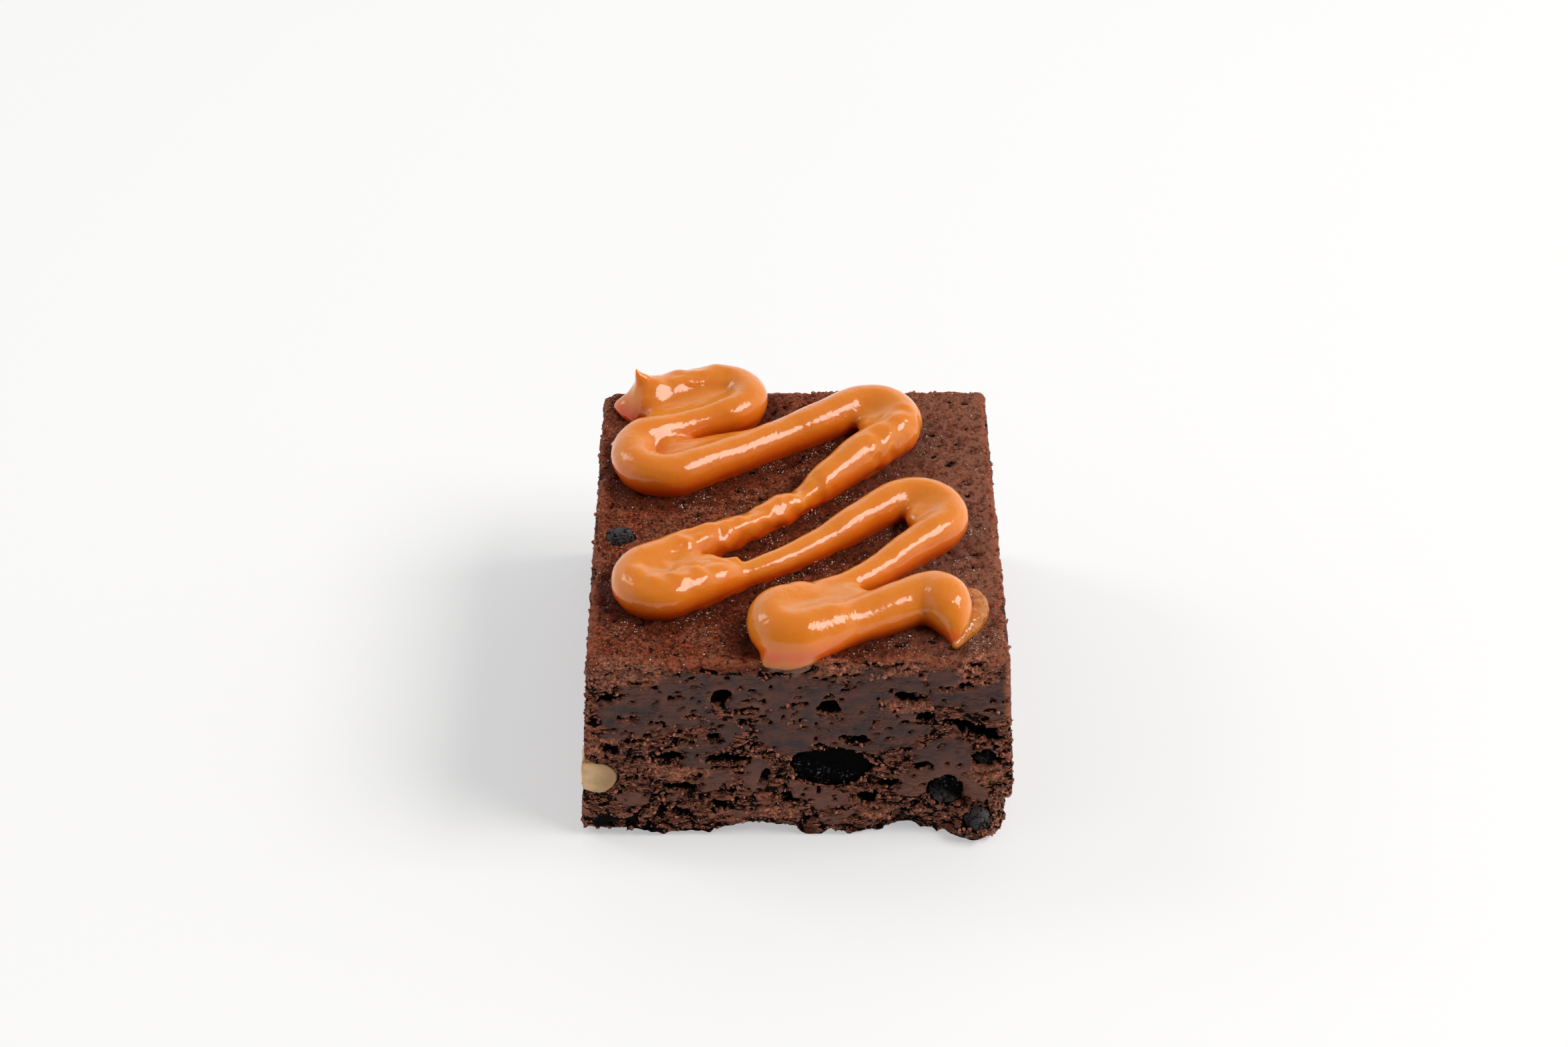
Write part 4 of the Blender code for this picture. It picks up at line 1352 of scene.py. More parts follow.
def build_crumb(look):
    """The block with its tears, pockets, broken corner and crumb relief, and what its colours follow."""
    deselect_all()
    block = plain_block()
    cut(block, rough_cutter(front_tears() + hidden_tears() + corner_bites(), "tears", TEAR_RAGGED))
    cut(block, stated_lump(*CORNER_LUMP, 2.0, CORNER_UNEVEN), "UNION")
    cut(block, rough_cutter(chip_pockets(), "pockets", POCKET_RAGGED))
    remesh(block, look.grain_across, look.grain_up)
    points, edges = points_of(block), edges_of(block)
    normals = eased(normals_of(block), edges, 2)
    normals /= np.maximum(np.linalg.norm(normals, axis=1), 1e-6)[:, None]
    sink, smear, torn, on_top = relief(points, normals, look)
    on_base = share(-points[:, 2], "base")
    hollow = below_face(points)
    kept = 1.0 - 0.45 * near_edges(points) * (points[:, 2] < BLOCK_HEIGHT - 2.0 * MM)
    sink *= (1.0 - on_base) * kept
    points = points - normals * sink[:, None]
    points[:, 2] += foot_lift(points)
    points[:, 2] = np.maximum(points[:, 2], 0.0)
    put_points(block, points)
    even = eased(points, edges, RIDGE_ROUNDS)
    broad = eased(even, edges, VALLEY_ROUNDS)
    ridge = np.einsum("ij,ij->i", points - even, normals) / RIDGE
    valley = np.einsum("ij,ij->i", broad - points, normals) / VALLEY
    # Painted shade, which the crumb's colour follows: in tears, valleys and shaded places
    deep = darkness(points, hollow, valley)
    rubble = rubble_cover(points)
    gap = gap_to_strand(points) + 1.2 * waves(points, "wet_rim")
    shares = {
        "smear": smear * (1.0 - torn),
        "ridge": np.clip(ridge, 0.0, 1.0) * (1.0 - 0.8 * smear),
        "deep": deep,
        "rim": eased(deep[:, None], edges, LIP_ROUNDS)[:, 0],
        "halo": share(eased(deep[:, None], edges, HALO_ROUNDS)[:, 0], "halo"),
        "wet": (1.0 - share(gap, "dry")) * on_top,
        "crust": eased(on_top[:, None], edges, CRUST_ROUNDS)[:, 0],
        "rubble": rubble,
        # Worn edges: real wear, and a painted rim light where light catches the edges
        "worn": np.maximum(near_edges(points), rubble) * (below_face(points) < 0.9 * MM),
        "film": film_cover(points),
    }
    for name, values in shares.items():
        put_attribute(block, name, values)
    flatten_base(block)
    block.data.shade_smooth()
    return block


def flatten_base(block):
    """Make the even base of few faces."""
    bm = in_edit_mode(block, "FACE")
    for face in bm.faces:
        face.select = all(vert.co.z < 0.02 * MM for vert in face.verts)
    bpy.ops.mesh.dissolve_limited(angle_limit=math.radians(2.0))
    bpy.ops.mesh.quads_convert_to_tris()
    leave_edit_mode(block)


# Caramel

def run_between(start, start_turn, end, end_turn):
    """The straight line that leaves one peg and meets the next, as its two ends and its right side.

    A turn is the peg's radius, above 0 where the strand goes round it to the left.
    """
    across = end - start
    heading = math.atan2(across.y, across.x) + math.asin((start_turn - end_turn) / across.length)
    right = Vector((math.sin(heading), -math.cos(heading)))
    return start + right * start_turn, end + right * end_turn, right


def radius_along(place, profile):
    """The strand's radius at a place on a run, 0 to 1, eased from each stop of its profile to the next."""
    for (before, first), (after, last) in zip(profile, profile[1:]):
        if place <= after:
            ease = (1.0 - math.cos(math.pi * (place - before) / (after - before))) / 2.0
            return first + (last - first) * ease
    return profile[-1][1]


def curve_through(points, step):
    """Points a step apart on a smooth curve through given ones, each a tuple of numbers."""
    rows = [np.array(point, float) for point in points]
    rows = [2 * rows[0] - rows[1], *rows, 2 * rows[-1] - rows[-2]]
    curve = []
    for a, b, c, d in zip(rows, rows[1:], rows[2:], rows[3:]):
        steps = max(2, round(np.linalg.norm((c - b)[:2]) / step))
        for t in np.arange(steps) / steps:
            curve.append(0.5 * (2 * b + (c - a) * t + (2 * a - 5 * b + 4 * c - d) * t ** 2
                                + (3 * b - a - 3 * c + d) * t ** 3))
    return [tuple(row) for row in (*curve, rows[-2])]


def strand_route():
    """Points of the zigzag in millimetres, each with the strand's radius: x, y, radius."""
    step_size = STRAND_STEP / MM
    stops = [(Vector(STRAND_START), 0.0, START_RADIUS)]
    for number, (x, y, turning, radius) in enumerate(PEGS):
        stops.append((Vector((x, y)), turning if number % 2 else -turning, radius))
    runs = [run_between(a[0], a[1], b[0], b[1]) for a, b in zip(stops, stops[1:])]
    route = []
    for number, (leave, meet, right) in enumerate(runs):
        bow, stated = RUNS[number]
        profile = ((0.0, stops[number][2]), *stated, (1.0, stops[number + 1][2]))
        steps = max(2, round((meet - leave).length / step_size))
        for t in (step / steps for step in range(steps)):
            swing = (1.0 - math.cos(2.0 * math.pi * t)) / 2.0
            route.append((*(leave.lerp(meet, t) + right * bow * swing), radius_along(t, profile)))
        if number == len(runs) - 1:
            return route + curve_through(((*meet, stops[-1][2]), *END_CURL), step_size)
        centre, turn, radius = stops[number + 1]
        first = math.atan2(*reversed(meet - centre))
        last = math.atan2(*reversed(runs[number + 1][0] - centre))
        way = math.copysign(1.0, turn)
        sweep = way * ((way * (last - first)) % (2.0 * math.pi))
        steps = max(3, round(abs(sweep * turn) / step_size))
        for angle in (first + sweep * step / steps for step in range(steps)):
            spoke = Vector((math.cos(angle), math.sin(angle))) * abs(turn)
            route.append((*(centre + spoke), radius))


def add_tube(points, name):
    """A closed tube through points, each given as x, y, z and radius."""
    curve = bpy.data.curves.new(name, "CURVE")
    curve.dimensions = "3D"
    curve.bevel_depth = 1.0
    curve.bevel_resolution = 7
    curve.use_fill_caps = True
    spline = curve.splines.new("POLY")
    spline.points.add(len(points) - 1)
    for target, (x, y, z, radius) in zip(spline.points, points):
        target.co = (x, y, z, 1.0)
        target.radius = radius
    tube = bpy.data.objects.new(name, curve)
    bpy.context.scene.collection.objects.link(tube)
    pick(tube)
    bpy.ops.object.convert(target="MESH")
    tube = bpy.context.object
    in_edit_mode(tube, "VERT")
    bpy.ops.mesh.select_all(action="SELECT")
    bpy.ops.mesh.remove_doubles(threshold=0.001 * MM)
    bpy.ops.mesh.normals_make_consistent(inside=False)
    leave_edit_mode(tube)
    return tube


def above_crust(x, y, height, radius):
    """A place and a radius in metres, from millimetres and a height above the crust."""
    return x * MM, y * MM, BLOCK_HEIGHT + height * MM, radius * MM


def strand_tube(route, thickness, drop):
    points = []
    for x, y, radius in route:
        height = BLOCK_HEIGHT + (1.0 - STRAND_SUNK) * radius * MM - drop
        points.append((x * MM, y * MM, height, thickness * radius * MM))
    return add_tube(points, "strand")


def apart_from(points, route):
    """How far points lie from each stop of a route, along X and along Y, some points at a time."""
    for start in range(0, len(points), POINTS_AT_ONCE):
        some = slice(start, start + POINTS_AT_ONCE)
        part = points[some, :2] / MM
        yield some, part[:, None, 0] - route[None, :, 0], part[:, None, 1] - route[None, :, 1]


def thin_share(points, route):
    """Where the strand is thin, 0 to 1, from the nearest point of its route."""
    route = np.array(route)
    nearest = np.empty(len(points), int)
    for some, across, along in apart_from(points, route):
        nearest[some] = (across ** 2 + along ** 2).argmin(axis=1)
    return 1.0 - share(route[nearest, 2], "thick")


def gap_to_strand(points):
    """How far each point lies outside the strand's outline, seen from above, in millimetres."""
    route = np.array(strand_route())
    gap = np.empty(len(points))
    for some, across, along in apart_from(points, route):
        gap[some] = (np.hypot(across, along) - route[None, :, 2]).min(axis=1)
    return gap


def web_shape(start, end, start_radius, end_radius, top):
    """A tapered bar between two strands, its top a height above the crust."""
    points = []
    for t in np.linspace(0.0, 1.0, WEB_STOPS):
        radius = start_radius + (end_radius - start_radius) * t
        x, y = (a + (b - a) * t for a, b in zip(start, end))
        points.append(above_crust(x, y, top - radius, radius))
    return add_tube(points, "web")


def web_share(points):
    """How close each point is to the middle of a filled turn, 0 to 1."""
    near = np.zeros(len(points))
    for start, end, *_ in WEBS:
        near = np.maximum(near, near_line(points, start, end, WEB_SOFTNESS))
    return near * share(points[:, 2], "above_crust")


def near_line(points, start, end, reach):
    """How close each point is, seen from above, to a line, 0 to 1."""
    start, along = np.array(start), np.subtract(end, start)
    away = points[:, :2] / MM - start
    place = np.clip(away @ along / (along @ along), 0.0, 1.0)
    apart = np.linalg.norm(away - place[:, None] * along, axis=1)
    return 1.0 - step_between(apart, 0.4 * reach, reach)


def add_ball(x, y, z, radius):
    bpy.ops.mesh.primitive_ico_sphere_add(subdivisions=BALL_STEPS, radius=radius, location=(x, y, z))
    return bpy.context.object


def flow_shapes():
    """The caramel that spreads from the strand onto the crust and over the front edge."""
    shapes = []
    for start, end in FLOWS:
        points = []
        for t in np.linspace(0.0, 1.0, FLOW_STOPS):
            x, y, height = (a + (b - a) * t for a, b in zip(start[:3], end[:3]))
            radius = end[3] + (start[3] - end[3]) * (1.0 - t) ** FLOW_TAPER
            points.append(above_crust(x, y, height, radius))
        shapes.append(add_tube(points, "flow"))
        shapes += [add_ball(*row) for row in (points[0], points[-1])]
    return shapes


def peak_shape():
    """The small peak pulled up where the strand starts, wide at its foot and leaning."""
    foot = Vector((*PEAK["foot"], BLOCK_HEIGHT / MM + START_RADIUS))
    tip = Vector((*PEAK["tip"], PEAK["top"]))
    points = []
    for t in np.linspace(0.0, 1.0, FLOW_STOPS):
        radius = PEAK["tip_radius"] + PEAK["radius"] * (1.0 - t) ** PEAK_TAPER
        points.append((*(foot.lerp(tip, t) * MM), radius * MM))
    return add_tube(points, "peak")


def caramel_shapes(route):
    """The strand, its broader foot, the fill of its turns, its folds, its flows and its peak."""
    shapes = [strand_tube(route, 1.0, 0.0), strand_tube(route, FOOT_SHARE, FOOT_DROP)]
    for x, y, radius in (route[0], route[-1]):
        shapes.append(add_ball(*above_crust(x, y, (1.0 - STRAND_SUNK) * radius, radius)))
    for start, end, start_radius, end_radius, top in (*WEBS, *FOLDS):
        shapes.append(web_shape(start, end, start_radius, end_radius, top))
        for (x, y), radius in ((start, start_radius), (end, end_radius)):
            shapes.append(add_ball(*above_crust(x, y, top - radius, radius)))
    return [*shapes, *flow_shapes(), peak_shape()]


def nearest_share(points, places, inner, least=None):
    """How close each point is to the nearest of some places, 1 within an inner part of its reach."""
    near = np.zeros(len(points)) if least is None else least
    for place, reach in places:
        near = np.maximum(near, near_place(points, place, inner * reach, reach))
    return near


def build_caramel(look):
    """The shapes of the caramel melted into one, with ripples and beads, and what its colours follow."""
    route = strand_route()
    caramel = join(caramel_shapes(route), "caramel_zigzag")
    remesh(caramel, look.grain)
    apply_modifier(caramel, "SMOOTH", factor=0.5, iterations=CARAMEL_SMOOTHED)
    points, edges = points_of(caramel), edges_of(caramel)
    near = nearest_share(points, MELTED, 0.5, web_share(points))[:, None]
    points = points * (1.0 - near) + eased(points, edges, MELT_ROUNDS) * near
    put_points(caramel, points)
    normals = normals_of(caramel)
    slow = waves(points, "waves") + 0.5 * waves(points, "small_waves")
    beads = np.zeros(len(points))
    for start, end, reach in BEADED:
        beads = np.maximum(beads, near_line(points, start, end, reach))
    beads *= look.bead * waves(points, "beads")
    points = points + normals * (look.ripple * slow + beads)[:, None]
    put_points(caramel, points)
    put_attribute(caramel, "thin", nearest_share(points, GOLDEN, 0.25, thin_share(points, route)))
    put_attribute(caramel, "pale", nearest_share(points, PALE_RIMS, 0.25))
    caramel.data.shade_smooth()
    return caramel


def build_lobe():
    """The thin clear lobe: a flattened tube along a line on the crust."""
    curve = curve_through(END_LOBE, STRAND_STEP / MM)
    rows = [(x * MM, y * MM, 0.0, radius * MM) for x, y, radius in curve]
    ends = [add_ball(row[0], row[1], 0.0, row[3]) for row in (rows[0], rows[-1])]
    lobe = join([add_tube(rows, "lobe"), *ends], "caramel_end_lobe")
    remesh(lobe, LOBE_GRAIN)
    apply_modifier(lobe, "SMOOTH", factor=0.5, iterations=LOBE_SMOOTHED)
    lift = Matrix.Translation((0.0, 0.0, BLOCK_HEIGHT + LOBE_LIFT))
    lobe.data.transform(lift @ Matrix.Diagonal((1.0, 1.0, LOBE_FLATNESS, 1.0)))
    lobe.data.shade_smooth()
    return lobe


# Inclusions

def dressed_copy(node, name, look):
    """A copy of a model node with its doubles merged and fine, even faces."""
    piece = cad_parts[node].copy()
    piece.data = piece.data.copy()
    piece.name = name
    piece.data.name = name
    piece.parent = None
    for key in list(piece.keys()):
        if key.startswith("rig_"):
            del piece[key]
    bpy.context.scene.collection.objects.link(piece)
    in_edit_mode(piece, "VERT")
    bpy.ops.mesh.select_all(action="SELECT")
    bpy.ops.mesh.remove_doubles(threshold=0.002 * MM)
    leave_edit_mode(piece)
    remesh(piece, look.grain)
    apply_modifier(piece, "SMOOTH", factor=0.5, iterations=INCLUSION_SMOOTHED)
    return piece


def build_chip(node, look):
    chip = dressed_copy(node, node + "_chocolate", look)
    if node == "chip_top":
        put_points(chip, squared(points_of(chip), *top_chip_ball(), TOP_SQUARENESS))
    points, normals = points_of(chip), normals_of(chip)
    ridges = waves(points, "ridges") + 0.6 * waves(points, "small_ridges")
    low, high = points.min(axis=0), points.max(axis=0)
    reach = np.abs(points - (low + high) / 2) / ((high - low) / 2)
    shown = 1.0 - share(below_face(points), "in_pocket")
    bowl = 1.0 - np.clip((reach ** 2).sum(axis=1) - reach.max(axis=1) ** 2, 0.0, 1.0)
    proud = node in PROUD_CHIPS
    dish = shown * (CHIP_RIM + CHIP_DISH * bowl) * (not proud)
    rough = PROUD_CHIP_RELIEF if proud else CHIP_RELIEF
    put_points(chip, points + normals * (rough * ridges - dish)[:, None])
    across = (points - low) / (high - low)
    # Painted light: the lower left of each chip, where the light falls, gets the painted glints, and on a
    # chip in a dish the grey as well
    glint = 1.0 - share(across[:, 2] + 0.7 * across[:, 0], "unlit")
    dusted = DUSTED.get(node, 0.0)
    put_attribute(chip, "glint", np.maximum(glint, dusted))
    put_attribute(chip, "dust", dusted * np.maximum(glint, proud))
    chip.data.shade_smooth()
    return chip


def build_nut(look):
    nut = dressed_copy("nut_piece", "nut_flesh", look)
    points, normals = points_of(nut), normals_of(nut)
    dents = waves(points, "dents") + 0.25 * waves(points, "small_dents")
    put_points(nut, squared(points, *nut_ball(), NUT_SQUARENESS) + normals * (NUT_RELIEF * dents)[:, None])
    nut.data.shade_smooth()
    return nut


# Loose grains

def grain_shape():
    """The points and triangles of one angular grain."""
    bpy.ops.mesh.primitive_uv_sphere_add(segments=5, ring_count=3, radius=1.0)
    grain = bpy.context.object
    apply_modifier(grain, "TRIANGULATE")
    points = points_of(grain)
    triangles = np.array([tuple(face.vertices) for face in grain.data.polygons])
    bpy.data.objects.remove(grain)
    return points, triangles


def random_turns(count, rng):
    """Random rotation matrices, from random unit quaternions."""
    q = rng.normal(size=(count, 4))
    w, x, y, z = (q / np.linalg.norm(q, axis=1)[:, None]).T
    rows = (
        (1 - 2 * (y * y + z * z), 2 * (x * y - w * z), 2 * (x * z + w * y)),
        (2 * (x * y + w * z), 1 - 2 * (x * x + z * z), 2 * (y * z - w * x)),
        (2 * (x * z - w * y), 2 * (y * z + w * x), 1 - 2 * (x * x + y * y)),
    )
    return np.stack([np.stack(row, axis=1) for row in rows], axis=1)


def strew(name, places, sizes, flatness, rng):
    """One mesh of grains at places, each of its own size, turn and uneven shape."""
    shape, triangles = grain_shape()
    count = len(places)
    uneven = rng.uniform(*GRAIN_UNEVEN, (count, len(shape), 1))
    narrow, wide = GRAIN_WIDTH
    axes = rng.uniform((1.0 - flatness, narrow, narrow), (1.0, wide, wide), (count, 3))
    grains = shape[None] * uneven * (axes * sizes[:, None])[:, None, :]
    grains = np.einsum("nij,nkj->nki", random_turns(count, rng), grains) + places[:, None, :]
    faces = triangles[None] + len(shape) * np.arange(count)[:, None, None]
    mesh = bpy.data.meshes.new(name)
    mesh.from_pydata(grains.reshape(-1, 3).tolist(), [], faces.reshape(-1, 3).tolist())
    mesh.update()
    piece = bpy.data.objects.new(name, mesh)
    bpy.context.scene.collection.objects.link(piece)
    put_attribute(piece, "tint", np.repeat(rng.uniform(0.0, 1.0, count), len(shape)))
    return piece


def values_of(obj, name):
    values = np.empty(len(obj.data.vertices), np.float32)
    obj.data.attributes[name].data.foreach_get("value", values)
    return values


def draw_places(obj, weights, count, rng):
    """Random places on an object's surface, more of them where the weights are high, with their normals."""
    obj.data.calc_loop_triangles()
    corners = np.empty(len(obj.data.loop_triangles) * 3, np.int32)
    obj.data.loop_triangles.foreach_get("vertices", corners)
    corners = corners.reshape(-1, 3)
    points, normals = points_of(obj), normals_of(obj)
    first, second, third = (points[corners[:, side]] for side in range(3))
    area = np.linalg.norm(np.cross(second - first, third - first), axis=1)
    chance = area * weights[corners].mean(axis=1)
    picked = rng.choice(len(corners), size=count, p=chance / chance.sum())
    shares = rng.dirichlet((1.0, 1.0, 1.0), count)[:, :, None]
    places = (points[corners[picked]] * shares).sum(axis=1)
    outward = (normals[corners[picked]] * shares).sum(axis=1)
    return places, outward / np.linalg.norm(outward, axis=1)[:, None]


def build_loose_crumbs(block, look):
    """Crumbs that stick to the lips of tears, to the edges and to the broken corner."""
    rng = np.random.default_rng(SEED)
    points = points_of(block)
    on_side = 1.0 - values_of(block, "crust")
    clear = points[:, 2] > 0.5 * MM
    deep = values_of(block, "deep")
    lips = share(values_of(block, "rim"), "lip") * (1.0 - share(deep, "in_tear"))
    chances = CRUMB_CHANCES
    ridges = values_of(block, "ridge") ** 2
    weights = (chances["everywhere"] + chances["lips"] * lips + chances["ridges"] * ridges) * on_side
    weights *= 1.0 - 0.75 * values_of(block, "smear")
    drifts = share(waves(points, "drifts"), "drifts")
    rubble = values_of(block, "rubble")
    weights += chances["edges"] * near_edges(points) * drifts + chances["rubble"] * rubble
    for place, reach in CRUMB_DRIFTS:
        weights += chances["drifts"] * near_place(points, place, 0.5 * reach, reach)
    radius = CORNER_CHIP["radius"]
    weights *= 1.0 - 0.45 * near_place(points, CORNER_CHIP["tip"], radius, radius + 0.3)
    weights *= clear * (1.0 - 0.9 * share(deep, "deep_in_tear")) * (1.0 - values_of(block, "film"))
    places, outward = draw_places(block, weights, look.crumbs, rng)
    sizes = look.crumb_size * np.clip(rng.lognormal(0.0, CRUMB_SPREAD, look.crumbs), *CRUMB_LIMITS)
    places += outward * (CRUMB_STANDS * sizes)[:, None]
    places[:, 2] = np.maximum(places[:, 2], sizes)
    return strew("loose_crumbs", places, sizes, CRUMB_FLATNESS, rng)


def build_glints(block, look):
    """Pale grains on the open crust, in drifts, more of them towards the front."""
    rng = np.random.default_rng(SEED + 1)
    points = points_of(block)
    drift = share(waves(points, "pale_drifts"), "pale_drifts")
    forward = 1.0 - share(points[:, 1], "backward")
    open_crust = values_of(block, "crust") * (gap_to_strand(points) > -0.1)
    chances = GRAIN_CHANCES
    wet = values_of(block, "wet")
    chance = chances["everywhere"] + chances["front"] * forward + chances["beside"] * wet
    weights = open_crust * (chances["between_drifts"] + drift ** 2) * chance
    places, outward = draw_places(block, weights, look.glints, rng)
    sizes = look.glint_size * rng.lognormal(0.0, GRAIN_SPREAD, look.glints)
    places += outward * (GRAIN_STANDS * sizes)[:, None]
    return strew("pale_grains", places, sizes, GRAIN_FLATNESS, rng)


# Stage

FLOOR_SIZE = 6.0
# Where the parts of the surround start and end: the sweep's top and the ceiling, from 0 at the horizon
# to 1 overhead, then the walls and the sweep, from -1 behind the camera to 1 ahead of it
SWEEP_TOP = (0.42, 0.68)
CEILING = (0.72, 0.92)
WALLS = (-0.7, 0.3)
SWEEP = (-0.8, -0.1)
SKY_COLOUR = (1.0, 0.995, 0.985, 1.0)
SOFTBOX_COLOUR = (1.0, 0.975, 0.93)

# Camera: place, how far it looks down, to the right and is rolled, in degrees, focal length in pixels
CAMERA_PLACE = (-2.51 * MM, -280.32 * MM, 234.47 * MM)
CAMERA_PITCH = 37.0
CAMERA_YAW = 0.240
CAMERA_ROLL = -0.118
FOCAL_PIXELS = 4790.0
FRAME_PIXELS = 2349.0
SENSOR = 36.0

# Softboxes: name, azimuth from +X towards +Y and elevation in degrees, distance, width and height
# in metres, share of the brightness
SOFTBOXES = (
    ("softbox_right", -11.0, 47.0, 1.3, 0.80, 0.54, 1.0),
    ("softbox_left", 157.0, 36.0, 1.3, 0.38, 0.60, 0.42),
)


def add_camera():
    pitch, yaw, roll = (math.radians(angle) for angle in (CAMERA_PITCH, CAMERA_YAW, CAMERA_ROLL))
    ahead = Vector((math.sin(yaw) * math.cos(pitch), math.cos(yaw) * math.cos(pitch), -math.sin(pitch)))
    right = Vector((math.cos(yaw), -math.sin(yaw), 0.0))
    up = right.cross(ahead)
    turned_right = right * math.cos(roll) + up * math.sin(roll)
    turned_up = up * math.cos(roll) - right * math.sin(roll)
    data = bpy.data.cameras.new("camera")
    data.sensor_fit = "HORIZONTAL"
    data.sensor_width = SENSOR
    data.lens = FOCAL_PIXELS / FRAME_PIXELS * SENSOR
    data.clip_start = 0.01
    camera = bpy.data.objects.new("camera", data)
    bpy.context.scene.collection.objects.link(camera)
    turn = Matrix((turned_right, turned_up, -ahead)).transposed().to_4x4()
    camera.matrix_world = Matrix.Translation(CAMERA_PLACE) @ turn
    bpy.context.scene.camera = camera


def add_softbox(name, azimuth, elevation, distance, width, height, brightness):
    """A rectangular light of an even brightness, aimed at the object."""
    turn, rise = math.radians(azimuth), math.radians(elevation)
    away = Vector((math.cos(turn) * math.cos(rise), math.sin(turn) * math.cos(rise), math.sin(rise)))
    data = bpy.data.lights.new(name, "AREA")
    data.shape = "RECTANGLE"
    data.size = width
    data.size_y = height
    data.energy = brightness * math.pi * width * height
    data.color = SOFTBOX_COLOUR
    softbox = bpy.data.objects.new(name, data)
    bpy.context.scene.collection.objects.link(softbox)
    softbox.location = away * distance
    softbox.rotation_euler = away.to_track_quat("Z", "Y").to_euler()


def add_surround(look):
    """White walls behind and beside the object, a dimmer ceiling and a dim room behind the camera."""
    world = bpy.data.worlds.new("surround")
    world.use_nodes = True
    bpy.context.scene.world = world
    tree = world.node_tree
    tree.nodes.clear()
    coords = tree.nodes.new("ShaderNodeTexCoord")
    parts = tree.nodes.new("ShaderNodeSeparateXYZ")
    tree.links.new(coords.outputs["Generated"], parts.inputs[0])

    def between(value, low, high, to_low, to_high):
        node = tree.nodes.new("ShaderNodeMapRange")
        node.interpolation_type = "SMOOTHSTEP"
        for key, number in zip(("From Min", "From Max", "To Min", "To Max"), (low, high, to_low, to_high)):
            node.inputs[key].default_value = number
        tree.links.new(value, node.inputs["Value"])
        return node.outputs["Result"]

    def mix(share, first, second):
        node = tree.nodes.new("ShaderNodeMix")
        tree.links.new(share, node.inputs[0])
        tree.links.new(first, node.inputs[2])
        if isinstance(second, bpy.types.NodeSocket):
            tree.links.new(second, node.inputs[3])
        else:
            node.inputs[3].default_value = second
        return node.outputs[0]

    walls = between(parts.outputs["Y"], *WALLS, look.front, look.surround)
    sweep = between(parts.outputs["Y"], *SWEEP, look.front, look.horizon)
    lower = mix(between(parts.outputs["Z"], *SWEEP_TOP, 1.0, 0.0), walls, sweep)
    brightness = mix(between(parts.outputs["Z"], *CEILING, 0.0, 1.0), lower, look.ceiling)
    sky = tree.nodes.new("ShaderNodeBackground")
    tree.links.new(brightness, sky.inputs["Strength"])
    sky.inputs["Color"].default_value = SKY_COLOUR
    output = tree.nodes.new("ShaderNodeOutputWorld")
    tree.links.new(sky.outputs[0], output.inputs[0])


def build_stage(look):
    deselect_all()
    bpy.ops.mesh.primitive_plane_add(size=FLOOR_SIZE)
    floor = bpy.context.object
    floor.name = "floor"
    in_edit_mode(floor, "FACE")
    bpy.ops.mesh.select_all(action="SELECT")
    bpy.ops.mesh.subdivide(number_cuts=3)
    leave_edit_mode(floor)
    floor.data.materials.append(floor_finish(look))
    for name, azimuth, elevation, distance, width, height, share in SOFTBOXES:
        add_softbox(name, azimuth, elevation, distance, width, height, share * look.softbox)
    add_surround(look)
    add_camera()
    bpy.context.scene.view_settings.view_transform = "Standard"
    bpy.context.scene.view_settings.look = "None"


# Operators

class BROWNIE_OT_crumb(bpy.types.Operator):
    """Model the cut block of cake"""

    bl_idname = "brownie.crumb"
    bl_label = "Crumb Block"

    def execute(self, context):
        look = context.scene.brownie_crumb_look
        block = build_crumb(look)
        finish_piece(block, "crumb", crumb_finish(look), "brownie")
        return {"FINISHED"}


class BROWNIE_OT_caramel(bpy.types.Operator):
    """Lay the caramel zigzag on the crust"""

    bl_idname = "brownie.caramel"
    bl_label = "Caramel Zigzag"

    def execute(self, context):
        look = context.scene.brownie_caramel_look
        finish_piece(build_caramel(look), "caramel", caramel_finish(look), "brownie")
        finish_piece(build_lobe(), "caramel", lobe_finish(look))
        return {"FINISHED"}


class BROWNIE_OT_chips(bpy.types.Operator):
    """Set the chocolate chips in their pockets"""

    bl_idname = "brownie.chips"
    bl_label = "Chocolate Chips"

    def execute(self, context):
        look = context.scene.brownie_inclusion_look
        material = chip_finish(look)
        for node in (*CHIPS, "chip_corner", "chip_top"):
            finish_piece(build_chip(node, look), "chocolate", material, node)
        return {"FINISHED"}


class BROWNIE_OT_nut(bpy.types.Operator):
    """Set the nut piece in the front edge"""

    bl_idname = "brownie.nut"
    bl_label = "Nut Piece"

    def execute(self, context):
        look = context.scene.brownie_inclusion_look
        finish_piece(build_nut(look), "nut", nut_finish(look), "nut_piece")
        return {"FINISHED"}


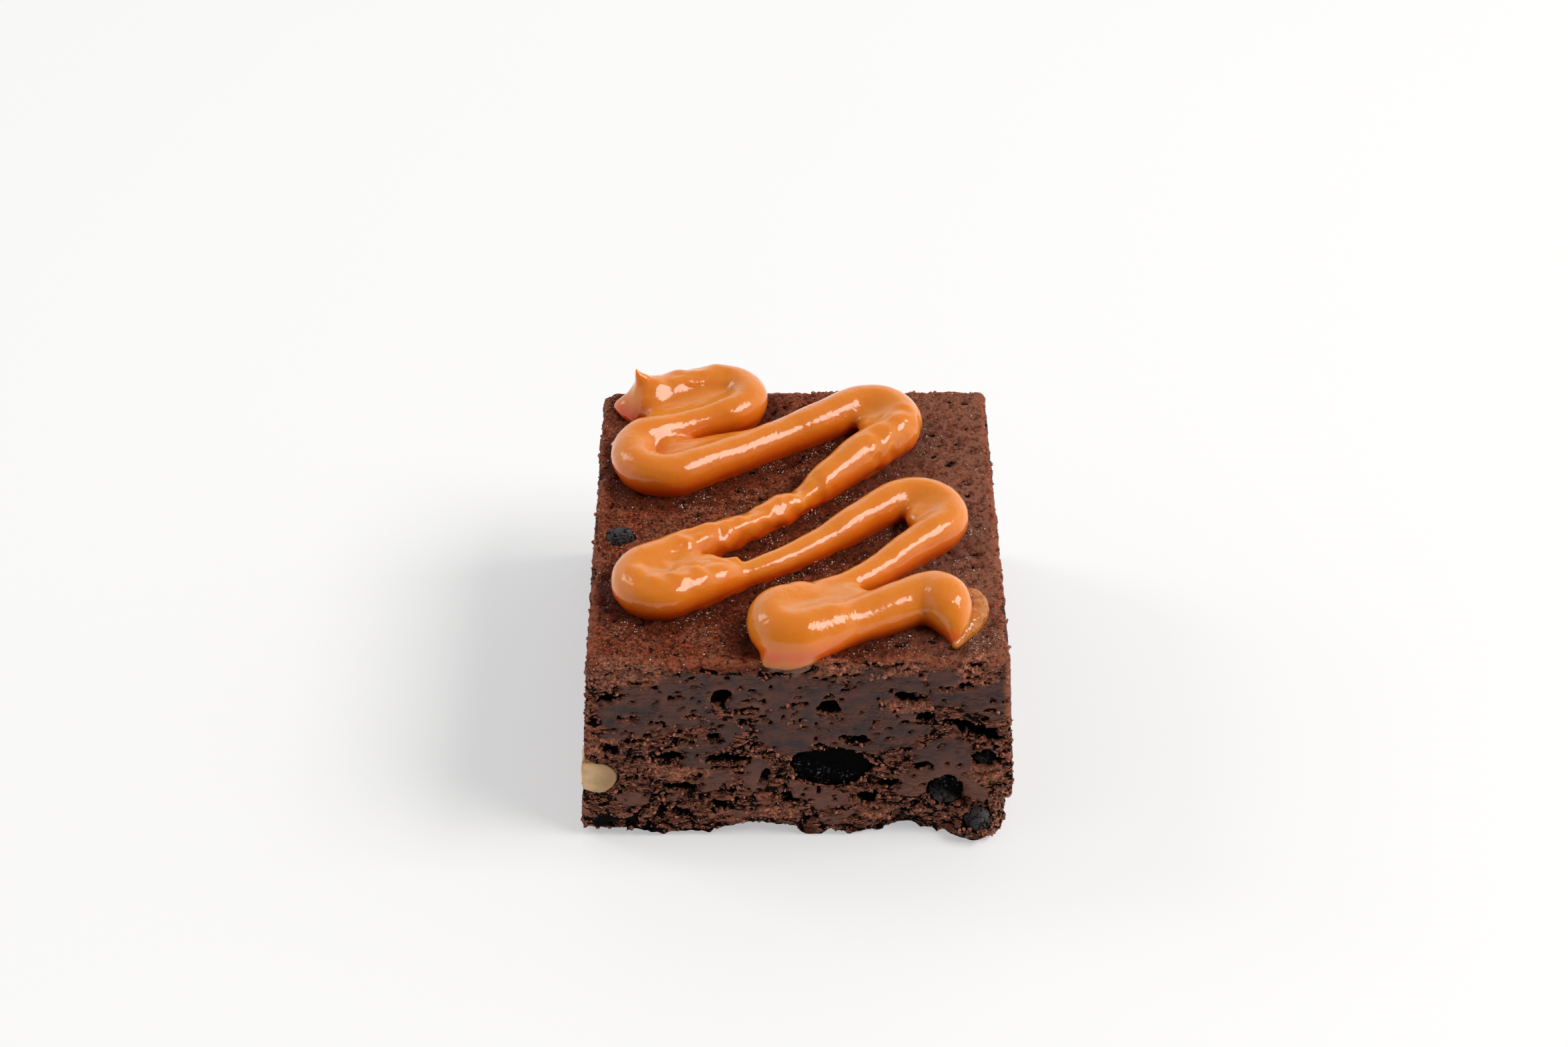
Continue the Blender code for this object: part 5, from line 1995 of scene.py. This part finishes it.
class BROWNIE_OT_grains(bpy.types.Operator):
    """Strew loose crumbs on the cut sides and pale grains on the crust"""

    bl_idname = "brownie.grains"
    bl_label = "Loose Grains"

    def execute(self, context):
        look = context.scene.brownie_scatter_look
        block = bpy.data.objects["brownie_crumb"]
        finish_piece(build_loose_crumbs(block, look), "crumb", loose_crumb_finish(look))
        finish_piece(build_glints(block, look), "crumb", glint_finish(look))
        return {"FINISHED"}


class BROWNIE_OT_stage(bpy.types.Operator):
    """Add the floor, the lights and the camera"""

    bl_idname = "brownie.stage"
    bl_label = "Stage"

    def execute(self, context):
        build_stage(context.scene.brownie_stage_look)
        return {"FINISHED"}


OPERATORS = (
    BROWNIE_OT_crumb,
    BROWNIE_OT_caramel,
    BROWNIE_OT_chips,
    BROWNIE_OT_nut,
    BROWNIE_OT_grains,
    BROWNIE_OT_stage,
)


class BROWNIE_PT_panel(bpy.types.Panel):
    """Lists the brownie's pieces and their looks"""

    bl_idname = "BROWNIE_PT_panel"
    bl_label = "Mini Brownie"
    bl_space_type = "VIEW_3D"
    bl_region_type = "UI"
    bl_category = "Brownie"

    def draw(self, context):
        for operator in OPERATORS:
            self.layout.operator(operator.bl_idname)
        for key, group in LOOKS.items():
            box = self.layout.box()
            box.label(text=group.__doc__)
            for name in group.__annotations__:
                box.prop(getattr(context.scene, key), name)


CLASSES = (*LOOKS.values(), *OPERATORS, BROWNIE_PT_panel)


def register():
    for cls in CLASSES:
        bpy.utils.register_class(cls)
    for key, group in LOOKS.items():
        setattr(bpy.types.Scene, key, bpy.props.PointerProperty(type=group))


def unregister():
    for key in LOOKS:
        delattr(bpy.types.Scene, key)
    for cls in reversed(CLASSES):
        bpy.utils.unregister_class(cls)


def main():
    register()
    bpy.ops.brownie.crumb()
    bpy.ops.brownie.caramel()
    bpy.ops.brownie.chips()
    bpy.ops.brownie.nut()
    bpy.ops.brownie.grains()
    bpy.ops.brownie.stage()
    bpy.context.view_layer.update()


if __name__ == "__main__":
    main()
